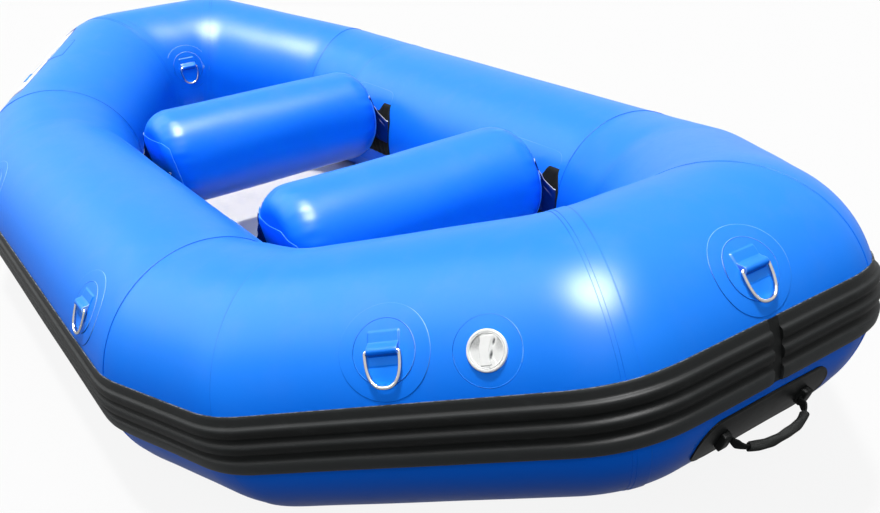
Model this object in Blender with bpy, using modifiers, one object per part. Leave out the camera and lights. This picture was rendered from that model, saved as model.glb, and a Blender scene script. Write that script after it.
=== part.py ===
"""An inflatable river raft: hull tubes, thwarts, floor, rub strip, rings, handles and valves.

Metres, +X to the bow, +Y to port, +Z up. The raft rests on z = 0 on the flats under its two side
tubes, and its plan is centred on the origin. Bow and stern are alike, and so are port and
starboard, except for the two hull valves.

The hull is one round tube that follows a bent line. Everything on it is worked out for the
starboard bow quadrant, where that line runs forward from the middle of the side, then turns
inboard and rises at three corners, to the middle of the bow. The other quadrants mirror it.
"""
import math

import bmesh
import bpy
from mathutils import Matrix, Vector

# Hull tube
TUBE_RADIUS = 0.225
TUBE_SIDES = 32
TUBE_WALL = 0.0012
SEAM_GAP = 0.0003
FIT_GAP = 0.0004

# Centre line of the tube, from the middle of the side to the middle of the bow
SIDE_HALF_LENGTH = 0.561
GUSSET_LENGTH = 0.262
GUSSET_TURN = math.radians(15.5)
GUSSET_RISE = math.radians(7.1)
QUARTER_LENGTH = 0.522
QUARTER_TURN = math.radians(39.2)
QUARTER_RISE = math.radians(12.2)
END_HALF_LENGTH = 0.172

# Floor sheet, glued under the tubes this far below their inboard side
FLOOR_ANGLE = math.radians(60)
FLOOR_THICKNESS = 0.0025

# Thwarts
THWART_RADIUS = 0.136
THWART_TO_SEAM = 0.167
THWART_LIFT = 0.085
THWART_END_CLEARANCE = 0.0105
THWART_SHOULDER = 0.040
THWART_WALL = 0.0012
THWART_FLAP_LENGTH = 0.220
THWART_FLAP_TOP = math.radians(42)
THWART_FLAP_BOTTOM = math.radians(26)
THWART_STRAP_WIDTH = 0.216
THWART_STRAP_THICKNESS = 0.002

# Glued fabric and rubber
PATCH_THICKNESS = 0.0012
BAFFLE_CROWN = 0.030

# Rub strip, measured across from its upper edge: width of each band and how far it stands out
STRIP_TOP_ANGLE = math.radians(11)
STRIP_BASE = 0.0025
STRIP_RIB = 0.0080
STRIP_BANDS = (("flange", 0.018), ("rib", 0.020), ("groove", 0.009), ("rib", 0.020),
               ("groove", 0.011), ("rib", 0.022), ("flange", 0.006))
STRIP_SPLICE = 0.022
SPLICE_THICKNESS = 0.004

# D-rings, their folded loops and their round patches
RING_WIRE = 0.00275
RING_HALF_WIDTH = 0.02825
RING_CORNER = 0.0045
RING_LEG = 0.026
RING_OUTER_PATCH = 0.075
RING_INNER_PATCH = 0.049
PATCH_TO_SEAM = 0.003
RING_BAR_LIFT = 0.0040
RING_BORE_CLEARANCE = 0.0004
RING_REST_CLEARANCE = 0.0005
CHAPE_WIDTH = 0.038
CHAPE_THICKNESS = 0.0015
CHAPE_TAIL = 0.030
RING_ANGLE = math.radians(31)
RING_INNER_ANGLE = math.radians(23)
RING_TO_SEAM = 0.127
RING_ON_QUARTER = 0.275

# Carry handles
HANDLE_ANGLE = math.radians(-34)
HANDLE_PATCH_LENGTH = 0.298
HANDLE_PATCH_WIDTH = 0.100
HANDLE_HINGE_LIFT = 0.0090
HANDLE_HALF_SPAN = 0.092
HANDLE_REACH = 0.036
HANDLE_STRAP_RADIUS = 0.0040
HANDLE_GRIP_RADIUS = 0.0105
HANDLE_LUG = 0.016
HANDLE_BORE_CLEARANCE = 0.0004

# Hull valves, on the forward starboard quarter and the after port quarter
VALVE_ALONG = 0.436
VALVE_ANGLE = math.radians(27.5)
VALVE_FLANGE_RADIUS = 0.031
VALVE_FLANGE_THICKNESS = 0.0041
VALVE_NECK_RADIUS = 0.020
VALVE_NECK_DEPTH = 0.024
VALVE_BORE_RADIUS = 0.013
VALVE_SEAT_RADIUS = 0.0105
VALVE_CAP_RADIUS = 0.0262
VALVE_RECESS_DEPTH = 0.0030
VALVE_TRAVEL = 0.006
VALVE_STEM_RADIUS = 0.0025
VALVE_GUIDE = (0.009, 0.003)
VALVE_STEM_HEAD = 0.0015
VALVE_PLUG = 0.003
VALVE_GRIP_BAR = (0.042, 0.014, 0.0030)

# Thwart valves, on the after side of each thwart
THWART_VALVE_OFFSET = 0.200
THWART_VALVE_FLANGE = 0.018
THWART_VALVE_NECK = 0.009
THWART_VALVE_CAP = 0.013

STARBOARD_BOW, STARBOARD_STERN, PORT_STERN, PORT_BOW = (1, 1), (-1, 1), (-1, -1), (1, -1)
QUADRANTS = {"bow_starboard": STARBOARD_BOW, "stern_starboard": STARBOARD_STERN,
             "stern_port": PORT_STERN, "bow_port": PORT_BOW}


# The line of the hull

def heading(turn, rise):
    """Direction of the tube once it has turned inboard and risen by these angles."""
    return Vector((math.cos(rise) * math.cos(turn), math.cos(rise) * math.sin(turn), math.sin(rise)))


def hull_line():
    """Headings of the four straight runs, their corners, and the plane that closes each run."""
    headings = [heading(0, 0), heading(GUSSET_TURN, GUSSET_RISE),
                heading(QUARTER_TURN, QUARTER_RISE), heading(math.pi / 2, 0)]
    runs = [h * length for h, length in zip(headings, (SIDE_HALF_LENGTH, GUSSET_LENGTH,
                                                       QUARTER_LENGTH, END_HALF_LENGTH))]
    axis_height = TUBE_RADIUS * math.cos(math.pi / TUBE_SIDES)
    corners = [Vector((0, -sum(run.y for run in runs), axis_height))]
    for run in runs:
        corners.append(corners[-1] + run)
    normals = [headings[0]] + [(a + b).normalized() for a, b in zip(headings, headings[1:])]
    planes = list(zip(corners, normals + [headings[-1]]))
    return headings, corners, planes


HEADINGS, CORNERS, PLANES = hull_line()
HALF_BEAM = -CORNERS[0].y
THWART_STATION = SIDE_HALF_LENGTH - THWART_TO_SEAM
TUBE_ANGLES = [(k + 0.5) * 2 * math.pi / TUBE_SIDES for k in range(TUBE_SIDES)]
PATCH_STACK = FIT_GAP + 2 * PATCH_THICKNESS


def mirrored(vector, quadrant):
    """The vector's image in a quadrant."""
    return Vector((vector.x * quadrant[0], vector.y * quadrant[1], vector.z))


def plane_in(plane, quadrant, direction, gap=0.0):
    """The plane's image in a quadrant, moved by a gap along the direction of travel."""
    point, normal = (mirrored(v, quadrant) for v in plane)
    if normal.dot(direction) < 0:
        normal = -normal
    return point + normal * gap, normal


def slide(point, direction, plane):
    """The point moved along a direction until it lies on the plane."""
    place, normal = plane
    return point + direction * ((place - point).dot(normal) / direction.dot(normal))


def section_point(radius, angle):
    """A point round the tube in the middle of the starboard side; angle 0 faces outboard."""
    return CORNERS[0] + Vector((0, -radius * math.cos(angle), radius * math.sin(angle)))


def carried(points, corner):
    """Points of that section, slid along the tube from run to run up to a corner's plane."""
    for run in range(corner):
        points = [slide(p, HEADINGS[run], PLANES[run + 1]) for p in points]
    return points


def tube_frame(run, along, angle, quadrant, inboard=False):
    """Where a fitting sits on the tube: X along the tube, Y up round it and Z straight out of it."""
    outboard, up = Vector((0, -1, 0)), Vector((0, 0, 1))
    for before, after in zip(HEADINGS[:run], HEADINGS[1:run + 1]):
        turn = before.rotation_difference(after)
        outboard, up = turn @ outboard, turn @ up
    side = -outboard if inboard else outboard
    normal = side * math.cos(angle) + up * math.sin(angle)
    slope = up * math.cos(angle) - side * math.sin(angle)
    place = mirrored(CORNERS[run] + HEADINGS[run] * along + normal * TUBE_RADIUS, quadrant)
    normal, slope = mirrored(normal, quadrant), mirrored(slope, quadrant)
    frame = Matrix((slope.cross(normal), slope, normal)).transposed().to_4x4()
    return Matrix.Translation(place) @ frame


# Scene, materials and modelling helpers

def clear_scene():
    for item in list(bpy.data.objects):
        bpy.data.objects.remove(item, do_unlink=True)


def new_collection(name):
    collection = bpy.data.collections.new(name)
    bpy.context.scene.collection.children.link(collection)
    return collection


def new_material(name, colour, roughness, metallic=0.0):
    material = bpy.data.materials.new(name)
    material.use_nodes = True
    shader = material.node_tree.nodes["Principled BSDF"]
    shader.inputs["Base Color"].default_value = (*colour, 1)
    shader.inputs["Roughness"].default_value = roughness
    shader.inputs["Metallic"].default_value = metallic
    material.diffuse_color = (*colour, 1)
    return material


def new_object(name, data, material=None, frame=Matrix()):
    """Links an object of the raft with its material and its place."""
    item = bpy.data.objects.new(name, data)
    item.matrix_world = frame
    if material:
        data.materials.clear()
        data.materials.append(material)
    RAFT.objects.link(item)
    return item


def finished_mesh(name, bm, smooth=True):
    """Turns a closed bmesh into a mesh with outward faces and smooth round surfaces."""
    bmesh.ops.recalc_face_normals(bm, faces=bm.faces)
    mesh = bpy.data.meshes.new(name)
    bm.to_mesh(mesh)
    bm.free()
    if smooth:
        mesh.shade_smooth()
        mesh.set_sharp_from_angle(angle=math.radians(30))
    return mesh


def polyline(bm, points, closed=True):
    verts = [bm.verts.new(p) for p in points]
    pairs = zip(verts, verts[1:] + verts[:1]) if closed else zip(verts, verts[1:])
    return [bm.edges.new(pair) for pair in pairs]


def extruded(bm, edges, move):
    """Extrudes edges, moves the new vertices and returns the new far edges."""
    made = bmesh.ops.extrude_edge_only(bm, edges=edges)["geom"]
    for vert in (g for g in made if isinstance(g, bmesh.types.BMVert)):
        vert.co = move(vert.co)
    return [g for g in made if isinstance(g, bmesh.types.BMEdge) and g.is_boundary]


def swept_bar(outline, legs):
    """A solid bmesh bar: a closed outline extruded along straight legs, each up to its plane."""
    bm = bmesh.new()
    start = edges = polyline(bm, outline)
    for direction, plane in legs:
        edges = extruded(bm, edges, lambda co: slide(co, direction, plane))
    for rim in (start, edges):
        bmesh.ops.contextual_create(bm, geom=rim)
    return bm


def swept_pipe(outline, start, legs, wall):
    """An open-ended bmesh pipe: out along the legs, turned in by the wall, and back inside them."""
    bm = bmesh.new()
    edges = polyline(bm, [slide(p, legs[0][0], start) for p in outline])
    for direction, plane in legs:
        edges = extruded(bm, edges, lambda co: slide(co, direction, plane))
    edges = extruded(bm, edges, lambda co: slide(inset(co, direction, plane, wall), direction, plane))
    for (direction, _), plane in reversed(list(zip(legs, [start] + [leg[1] for leg in legs]))):
        edges = extruded(bm, edges, lambda co: slide(co, direction, plane))
    extruded(bm, edges, lambda co: slide(inset(co, direction, plane, -wall), direction, plane))
    bmesh.ops.remove_doubles(bm, verts=bm.verts, dist=0.00001)
    return bm


def inset(point, direction, plane, depth):
    """The point moved straight in toward the leg's middle line, which meets the plane at its place."""
    spoke = point - plane[0]
    spoke -= direction * spoke.dot(direction)
    return point - spoke.normalized() * depth


def sheet(points, half_length):
    """A bmesh sheet: an open line of points in the YZ plane, extruded along X."""
    bm = bmesh.new()
    edges = polyline(bm, [Vector((-half_length, y, z)) for y, z in points], closed=False)
    extruded(bm, edges, lambda co: co + Vector((2 * half_length, 0, 0)))
    return bm


def thick(item, thickness, offset):
    """Solidifies an object's sheet to one side, +1 outward and -1 inward, or 0 to both."""
    modifier = item.modifiers.new("Thickness", "SOLIDIFY")
    modifier.thickness, modifier.offset = thickness, offset
    modifier.use_even_offset = True


def boolean(item, operation, tool):
    modifier = item.modifiers.new(operation.title(), "BOOLEAN")
    modifier.operation, modifier.solver, modifier.object = operation, "EXACT", tool


def cutter(name, mesh, frame=Matrix()):
    """A hidden wire object that other pieces are cut with."""
    item = bpy.data.objects.new(name, mesh)
    item.matrix_world = frame
    item.hide_render = True
    item.display_type = "WIRE"
    CUTTERS.objects.link(item)
    return item


def applied(item):
    """The object's mesh with its modifiers applied, for sharing; the object goes."""
    bpy.context.view_layer.update()
    evaluated = item.evaluated_get(bpy.context.evaluated_depsgraph_get())
    mesh = bpy.data.meshes.new_from_object(evaluated)
    mesh.name = item.name
    bpy.data.objects.remove(item, do_unlink=True)
    return mesh


def cylinder(name, radius, depth, sides=24, matrix=Matrix()):
    """A cylinder mesh centred on its matrix and standing along its Z."""
    bm = bmesh.new()
    bmesh.ops.create_cone(bm, cap_ends=True, segments=sides, radius1=radius, radius2=radius,
                          depth=depth, matrix=matrix)
    return finished_mesh(name, bm)


def box(name, size, matrix=Matrix()):
    bm = bmesh.new()
    bmesh.ops.create_cube(bm, size=1, matrix=matrix @ Matrix.Diagonal((*size, 1)))
    return finished_mesh(name, bm, smooth=False)


def turned(name, profile, material, frame=Matrix(), sides=24, closed=True):
    """Turns a profile of (radius, height) points about Z with a Screw modifier."""
    bm = bmesh.new()
    polyline(bm, [Vector((r, 0, z)) for r, z in profile], closed=closed)
    mesh = bpy.data.meshes.new(name)
    bm.to_mesh(mesh)
    bm.free()
    item = new_object(name, mesh, material, frame)
    screw = item.modifiers.new("Turn", "SCREW")
    screw.angle = 2 * math.pi
    screw.steps = screw.render_steps = sides
    screw.use_merge_vertices = True
    screw.merge_threshold = 0.00001
    screw.use_smooth_shade = False
    return item


def tube_arc(angle, low, high, lift):
    """Points in a fitting's frame that follow the flats of the tube between two angles."""
    radius = TUBE_RADIUS + lift
    angles = [low] + [a for a in signed_tube_angles() if low < a < high] + [high]
    return [(radius * math.sin(a - angle), radius * math.cos(a - angle) - TUBE_RADIUS) for a in angles]


def signed_tube_angles():
    return sorted(a - 2 * math.pi if a > math.pi else a for a in TUBE_ANGLES)


def patch_blank(name, angle, half_length, half_width, lift, thickness):
    """A plate that lies round the tube, square to it, ready to be cut to its outline."""
    reach = half_width / TUBE_RADIUS
    mesh = finished_mesh(name, sheet(tube_arc(angle, angle - reach, angle + reach, lift), half_length),
                         smooth=False)
    item = new_object(name, mesh)
    thick(item, thickness, outward_offset(mesh))
    return item


def outward_offset(mesh):
    """+1 where the sheet's faces look along +Z, so that it thickens away from the tube."""
    return 1 if mesh.polygons[len(mesh.polygons) // 2].normal.z > 0 else -1


# Hull tubes and what is inside them

def make_side_tube(name, quadrant):
    direction = HEADINGS[0]
    after = plane_in(PLANES[1], STARBOARD_STERN, direction, SEAM_GAP / 2)
    fore = plane_in(PLANES[1], STARBOARD_BOW, direction, -SEAM_GAP / 2)
    return hull_panel(name, 0, after, [(direction, fore)], quadrant)


def make_quarter_tube(name, quadrant):
    """The gusset and the quarter's straight run, in one piece."""
    start = plane_in(PLANES[1], STARBOARD_BOW, HEADINGS[1], SEAM_GAP / 2)
    end = plane_in(PLANES[3], STARBOARD_BOW, HEADINGS[2], -SEAM_GAP / 2)
    return hull_panel(name, 1, start, [(HEADINGS[1], PLANES[2]), (HEADINGS[2], end)], quadrant)


def make_end_tube(name, quadrant):
    direction = HEADINGS[3]
    start = plane_in(PLANES[3], STARBOARD_BOW, direction, SEAM_GAP / 2)
    end = plane_in(PLANES[3], PORT_BOW, direction, -SEAM_GAP / 2)
    return hull_panel(name, 3, start, [(direction, end)], quadrant)


def hull_panel(name, corner, start, legs, quadrant):
    outline = carried([section_point(TUBE_RADIUS, a) for a in TUBE_ANGLES], corner)
    bm = swept_pipe(outline, start, legs, TUBE_WALL)
    bmesh.ops.transform(bm, matrix=Matrix.Diagonal((*quadrant, 1, 1)), verts=bm.verts)
    return new_object(name, finished_mesh(name, bm), BLUE_FABRIC)


def make_baffle(name, quadrant):
    """The bulging wall that parts the bow chamber from the stern chamber in a side tube."""
    radius = (TUBE_RADIUS - TUBE_WALL) * math.cos(math.pi / TUBE_SIDES) - 2 * FIT_GAP
    rings = 4
    profile = [(radius * k / rings, BAFFLE_CROWN * (1 - (k / rings) ** 2)) for k in range(rings + 1)]
    place = Matrix.Translation(mirrored(CORNERS[0], quadrant)) @ Matrix.Rotation(math.pi / 2, 4, "Y")
    item = turned(name, profile, BLUE_FABRIC, place, TUBE_SIDES, closed=False)
    thick(item, TUBE_WALL, 0)
    return item


def make_floor():
    """The floor sheet: five flat panels between rails that follow the tubes from corner to corner."""
    rail = [section_point(TUBE_RADIUS + 2 * FIT_GAP, math.pi + FLOOR_ANGLE)]
    fore = [carried(rail, corner)[0] for corner in (1, 2, 3)]
    stations = [mirrored(p, STARBOARD_STERN) for p in reversed(fore)] + fore
    bm = bmesh.new()
    first = stations[0]
    edges = polyline(bm, [first, mirrored(first, PORT_BOW)], closed=False)
    for before, after in zip(stations, stations[1:]):
        step = after - before
        edges = extruded(bm, edges, lambda co: co + Vector((step.x, -math.copysign(step.y, step.y * co.y),
                                                            step.z)))
    mesh = finished_mesh("floor_sheet", bm, smooth=False)
    item = new_object("floor_sheet", mesh, GREY_FABRIC)
    thick(item, FLOOR_THICKNESS, -outward_offset(mesh))
    return item


# Thwarts

def thwart_end():
    """How far outboard a thwart's flat ends reach."""
    return HALF_BEAM - TUBE_RADIUS - THWART_END_CLEARANCE


def make_thwart(name, fore):
    """An inflated cross tube with rounded shoulders and flat ends, and the hole for its valve."""
    end, shoulder, steps = thwart_end(), THWART_SHOULDER, 4
    arc = [(THWART_RADIUS - shoulder * (1 - math.sin(t)), end - shoulder * (1 - math.cos(t)))
           for t in (k * math.pi / 2 / steps for k in range(steps + 1))]
    half = [(0, end)] + arc
    profile = half + [(r, -z) for r, z in reversed(half)]
    place = Matrix.Translation((fore * THWART_STATION, 0, CORNERS[0].z + THWART_LIFT))
    item = turned(name, profile, BLUE_FABRIC, place @ Matrix.Rotation(-math.pi / 2, 4, "X"),
                  TUBE_SIDES, closed=False)
    thick(item, THWART_WALL, -1)
    boolean(item, "DIFFERENCE", cutter(name + "_valve_hole",
                                       cylinder(name + "_valve_hole", THWART_VALVE_NECK + FIT_GAP,
                                                2 * THWART_VALVE_NECK), thwart_valve_frame(fore)))
    return item


def thwart_valve_frame(fore):
    """On the after side of the thwart, towards port, with Z pointing aft."""
    place = Vector((fore * THWART_STATION - THWART_RADIUS, THWART_VALVE_OFFSET,
                    CORNERS[0].z + THWART_LIFT))
    return Matrix.Translation(place) @ Matrix.Rotation(-math.pi / 2, 4, "Y")


def make_thwart_valve(name, fore):
    """A small push-in valve with its cap shut, as one piece."""
    flange, neck, cap = THWART_VALVE_FLANGE, THWART_VALVE_NECK, THWART_VALVE_CAP
    profile = [(0, 0.009), (cap - 0.002, 0.009), (cap, 0.007), (cap, 0.0025), (flange, 0.002),
               (flange, FIT_GAP), (neck, FIT_GAP), (neck, -0.014), (0, -0.014)]
    return turned(name, profile, WHITE_PLASTIC, thwart_valve_frame(fore), 16, closed=False)


def side_frame(fore, quadrant):
    """The inboard side of the side tube abreast of a thwart, level with the tube's axis."""
    return tube_frame(0, THWART_STATION, 0, (fore, quadrant[1]), inboard=True)


def make_thwart_flap(name, fore, quadrant):
    """The glued patch on the side tube that a thwart's end is fastened to."""
    arc = tube_arc(0, THWART_FLAP_BOTTOM, THWART_FLAP_TOP, FIT_GAP)
    mesh = finished_mesh(name, sheet(arc, THWART_FLAP_LENGTH / 2), smooth=False)
    item = new_object(name, mesh, BLUE_FABRIC, side_frame(fore, quadrant))
    thick(item, PATCH_THICKNESS, outward_offset(mesh))
    return item


def make_thwart_strap(name, fore, quadrant):
    """The webbing that runs from the flap down between the side tube and the thwart's flat end."""
    lift = 2 * FIT_GAP + PATCH_THICKNESS + THWART_STRAP_THICKNESS / 2
    middle = (THWART_FLAP_TOP + THWART_FLAP_BOTTOM) / 2
    on_tube = tube_arc(0, THWART_FLAP_BOTTOM, middle, lift)
    face = THWART_END_CLEARANCE - FIT_GAP - THWART_STRAP_THICKNESS / 2
    on_thwart = [(0.0, face), (THWART_LIFT * 0.7, face)]
    mesh = finished_mesh(name, sheet(on_thwart + on_tube, THWART_STRAP_WIDTH / 2), smooth=False)
    item = new_object(name, mesh, BLACK_WEBBING, side_frame(fore, quadrant))
    thick(item, THWART_STRAP_THICKNESS, 0)
    return item


# Rub strip

def strip_outline():
    """The strip's section round the tube: along its flat underside, then back over its ribs."""
    radius = TUBE_RADIUS + FIT_GAP
    width = sum(w for _, w in STRIP_BANDS)
    bottom_angle = STRIP_TOP_ANGLE - width / radius
    under = [bottom_angle] + [a for a in signed_tube_angles() if bottom_angle < a < STRIP_TOP_ANGLE]
    points = [(radius, a) for a in under + [STRIP_TOP_ANGLE]]
    across = 0.0
    for kind, band in STRIP_BANDS:
        height = STRIP_RIB if kind == "rib" else STRIP_BASE
        flank = 0.2 * band if kind == "rib" else 0.0
        for place in (across + flank, across + band - flank):
            points.append((radius + height, STRIP_TOP_ANGLE - place / radius))
        across += band
    return [section_point(r, a) for r, a in points]


def lap():
    """The straight legs once round the hull, from the bow over starboard, the stern and port."""
    legs = []
    for quadrant, inbound in ((STARBOARD_BOW, True), (STARBOARD_STERN, False),
                              (PORT_STERN, True), (PORT_BOW, False)):
        across = (-quadrant[0], quadrant[1]) if inbound else (quadrant[0], -quadrant[1])
        runs = (3, 2, 1, 0) if inbound else (1, 2, 3)
        if quadrant == PORT_STERN:
            runs = (2, 1, 0)
        for run in runs:
            direction = mirrored(HEADINGS[run], quadrant) * (-1 if inbound else 1)
            plane = PLANES[run] if inbound else PLANES[run + 1]
            if run == 0:
                legs.append((direction, plane_in(PLANES[1], across, direction)))
            elif run == 3 and not inbound and quadrant == STARBOARD_STERN:
                legs.append((direction, plane_in(PLANES[3], across, direction)))
            elif run == 3 and not inbound:
                legs.append((direction, plane_in(plane, quadrant, direction, -STRIP_SPLICE / 2)))
            else:
                legs.append((direction, plane_in(plane, quadrant, direction)))
    return legs


def make_rub_strip():
    """The ribbed rubber strip, once round the hull, with its ends a splice apart at the bow."""
    bow = carried(strip_outline(), 4)
    start = [p - Vector((0, STRIP_SPLICE / 2, 0)) for p in bow]
    return new_object("rub_strip", finished_mesh("rub_strip", swept_bar(start, lap())), BLACK_RUBBER)


def make_splice_cover():
    """The smooth piece that fills the gap between the rub strip's ends."""
    radius = TUBE_RADIUS + FIT_GAP
    width = sum(w for _, w in STRIP_BANDS)
    low = STRIP_TOP_ANGLE - width / radius
    mesh = finished_mesh("rub_strip_splice_cover",
                         sheet(tube_arc(0, low, STRIP_TOP_ANGLE, FIT_GAP), STRIP_SPLICE / 2 - SEAM_GAP),
                         smooth=False)
    item = new_object("rub_strip_splice_cover", mesh, BLACK_RUBBER,
                      tube_frame(3, END_HALF_LENGTH, 0, STARBOARD_BOW))
    thick(item, SPLICE_THICKNESS, outward_offset(mesh))
    return item


# D-rings

RING_BAR_HEIGHT = PATCH_STACK + RING_WIRE + RING_BAR_LIFT - RING_WIRE / 2


def ring_places():
    """Each D-ring's name and the frame on the tube under the middle of its bar."""
    places = {}
    for end, quadrant in (("bow", STARBOARD_BOW), ("stern", STARBOARD_STERN)):
        places[end + "_outer"] = tube_frame(3, END_HALF_LENGTH, RING_ANGLE, quadrant)
        places[end + "_inner"] = tube_frame(3, END_HALF_LENGTH, RING_INNER_ANGLE, quadrant, inboard=True)
    for corner, quadrant in QUADRANTS.items():
        places[corner + "_quarter"] = tube_frame(2, RING_ON_QUARTER, RING_ANGLE, quadrant)
        places[corner + "_side"] = tube_frame(0, SIDE_HALF_LENGTH - RING_TO_SEAM, RING_ANGLE, quadrant)
    return places


def ring_lean():
    """How far a hanging ring leans in toward the tube before it would touch its patch."""
    lowest = TUBE_RADIUS + PATCH_STACK + RING_REST_CLEARANCE + RING_WIRE
    return math.acos(lowest / (TUBE_RADIUS + RING_BAR_HEIGHT))


def round_patch(name, radius, half_length, angle, lift, thickness, sides):
    """A disc of fabric that lies round the tube, cut off straight at the half length."""
    blank = patch_blank(name, angle, half_length, radius * 1.15, lift, thickness)
    boolean(blank, "INTERSECT", cutter(name + "_outline", cylinder(name, radius, TUBE_RADIUS / 2, sides)))
    return blank


def inboard_room():
    """Half the length of the end tube along its inboard side, clear of the seams at its ends."""
    inboard = Vector((-1, 0, 0)) * (TUBE_RADIUS + PATCH_STACK)
    return abs(slide(CORNERS[4] + inboard, HEADINGS[3], PLANES[3]).y) - PATCH_TO_SEAM


def chape_mesh():
    """The folded strap's section, round the ring's bar and down to a thin tail, drawn across."""
    sleeve = RING_WIRE + RING_BORE_CLEARANCE + CHAPE_THICKNESS
    base = 1.5 * FIT_GAP
    round_bar = [(sleeve * math.cos(t), RING_BAR_HEIGHT + sleeve * math.sin(t))
                 for t in (math.radians(60 + 30 * k) for k in range(9))]
    tail = [(CHAPE_TAIL * 0.2, base), (CHAPE_TAIL, base), (CHAPE_TAIL, base + 2 * CHAPE_THICKNESS)]
    across, half = Vector((1, 0, 0)), CHAPE_WIDTH / 2
    outline = [Vector((-half, y, z)) for y, z in round_bar + tail]
    return finished_mesh("chape", swept_bar(outline, [(across, (across * half, across))]))


def ring_patch_mesh(name, half_length, angle):
    """Two round patches and the loop of folded fabric that holds the ring's bar."""
    patch = round_patch(name, RING_OUTER_PATCH, half_length, angle, FIT_GAP, PATCH_THICKNESS, 24)
    inner = round_patch(name + "_inner", RING_INNER_PATCH, RING_INNER_PATCH * 1.1, angle,
                        FIT_GAP + PATCH_THICKNESS / 2, 1.5 * PATCH_THICKNESS, 20)
    boolean(patch, "UNION", inner)
    boolean(patch, "UNION", cutter("chape", chape_mesh()))
    turn = Matrix.Translation((0, 0, RING_BAR_HEIGHT)) @ Matrix.Rotation(math.pi / 2, 4, "Y")
    bore = cylinder("bore", RING_WIRE + RING_BORE_CLEARANCE, 2 * CHAPE_WIDTH, 12, turn)
    boolean(patch, "DIFFERENCE", cutter("bore", bore))
    mesh = applied(patch)
    for tool in [inner] + [t for t in CUTTERS.objects if t.name.split(".")[0] in
                           (name + "_outline", name + "_inner_outline", "chape", "bore")]:
        bpy.data.objects.remove(tool, do_unlink=True)
    return mesh


def ring_curve():
    """The D's wire: its bar on X, short bent corners, straight legs and a half round."""
    corner = RING_CORNER
    right = [(RING_HALF_WIDTH - corner, 0), (RING_HALF_WIDTH - 0.3 * corner, -0.3 * corner),
             (RING_HALF_WIDTH, -corner)]
    bend = [(RING_HALF_WIDTH * math.cos(t), -RING_LEG - RING_HALF_WIDTH * math.sin(t))
            for t in (k * math.pi / 6 for k in range(7))]
    points = right + bend + [(-x, y) for x, y in reversed(right)]
    curve = bpy.data.curves.new("d_ring", "CURVE")
    curve.dimensions = "3D"
    curve.bevel_depth = RING_WIRE
    curve.bevel_resolution = 2
    spline = curve.splines.new("POLY")
    spline.points.add(len(points) - 1)
    for point, (x, y) in zip(spline.points, points):
        point.co = (x, y, 0, 1)
    spline.use_cyclic_u = True
    return curve


def make_rings():
    outer = ring_patch_mesh("d_ring_patch", RING_OUTER_PATCH * 1.1, RING_ANGLE)
    inner = ring_patch_mesh("d_ring_inboard_patch", inboard_room(), RING_INNER_ANGLE)
    curve = ring_curve()
    for place, frame in ring_places().items():
        mesh = inner if place.endswith("inner") else outer
        new_object("d_ring_patch_" + place, mesh, BLUE_FABRIC, frame)
        hang = Matrix.Translation((0, 0, RING_BAR_HEIGHT)) @ Matrix.Rotation(ring_lean(), 4, "X")
        new_object("d_ring_" + place, curve, STEEL, frame @ hang)


# Carry handles

def handle_frame(quadrant):
    return tube_frame(3, END_HALF_LENGTH, HANDLE_ANGLE, quadrant)


def make_handle_patch(name, quadrant):
    """The long rubber patch with round ends and the two lugs that hold the grip's strap."""
    patch = patch_blank(name, HANDLE_ANGLE, HANDLE_PATCH_LENGTH * 0.55, HANDLE_PATCH_WIDTH * 0.6,
                        FIT_GAP, 2 * PATCH_THICKNESS)
    patch.data.materials.append(BLACK_RUBBER)
    patch.matrix_world = frame = handle_frame(quadrant)
    outline = cutter(name + "_outline", box(name, (HANDLE_PATCH_LENGTH, HANDLE_PATCH_WIDTH,
                                                    TUBE_RADIUS / 2)), frame)
    rounding = outline.modifiers.new("Round ends", "BEVEL")
    rounding.affect, rounding.limit_method = "EDGES", "WEIGHT"
    rounding.width, rounding.segments = HANDLE_PATCH_WIDTH * 0.45, 5
    upright = outline.data.attributes.new("bevel_weight_edge", "FLOAT", "EDGE")
    for edge in outline.data.edges:
        a, b = (outline.data.vertices[v].co for v in edge.vertices)
        upright.data[edge.index].value = float(abs(a.z - b.z) > abs(a.x - b.x) + abs(a.y - b.y))
    boolean(patch, "INTERSECT", outline)
    base = FIT_GAP + PATCH_THICKNESS
    top = HANDLE_HINGE_LIFT + HANDLE_STRAP_RADIUS + 0.003
    for side in (-1, 1):
        block = Matrix.Translation((side * HANDLE_HALF_SPAN, 0, (base + top) / 2))
        lug = cutter(f"{name}_lug_{side}", box(name, (HANDLE_LUG, HANDLE_LUG, top - base), block), frame)
        boolean(patch, "UNION", lug)
    turn = Matrix.Translation((0, 0, HANDLE_HINGE_LIFT)) @ Matrix.Rotation(math.pi / 2, 4, "Y")
    bore = cylinder(name, HANDLE_STRAP_RADIUS + HANDLE_BORE_CLEARANCE,
                    2 * HANDLE_HALF_SPAN + 2 * HANDLE_LUG, 12, turn)
    boolean(patch, "DIFFERENCE", cutter(name + "_bore", bore, frame))
    return patch


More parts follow.
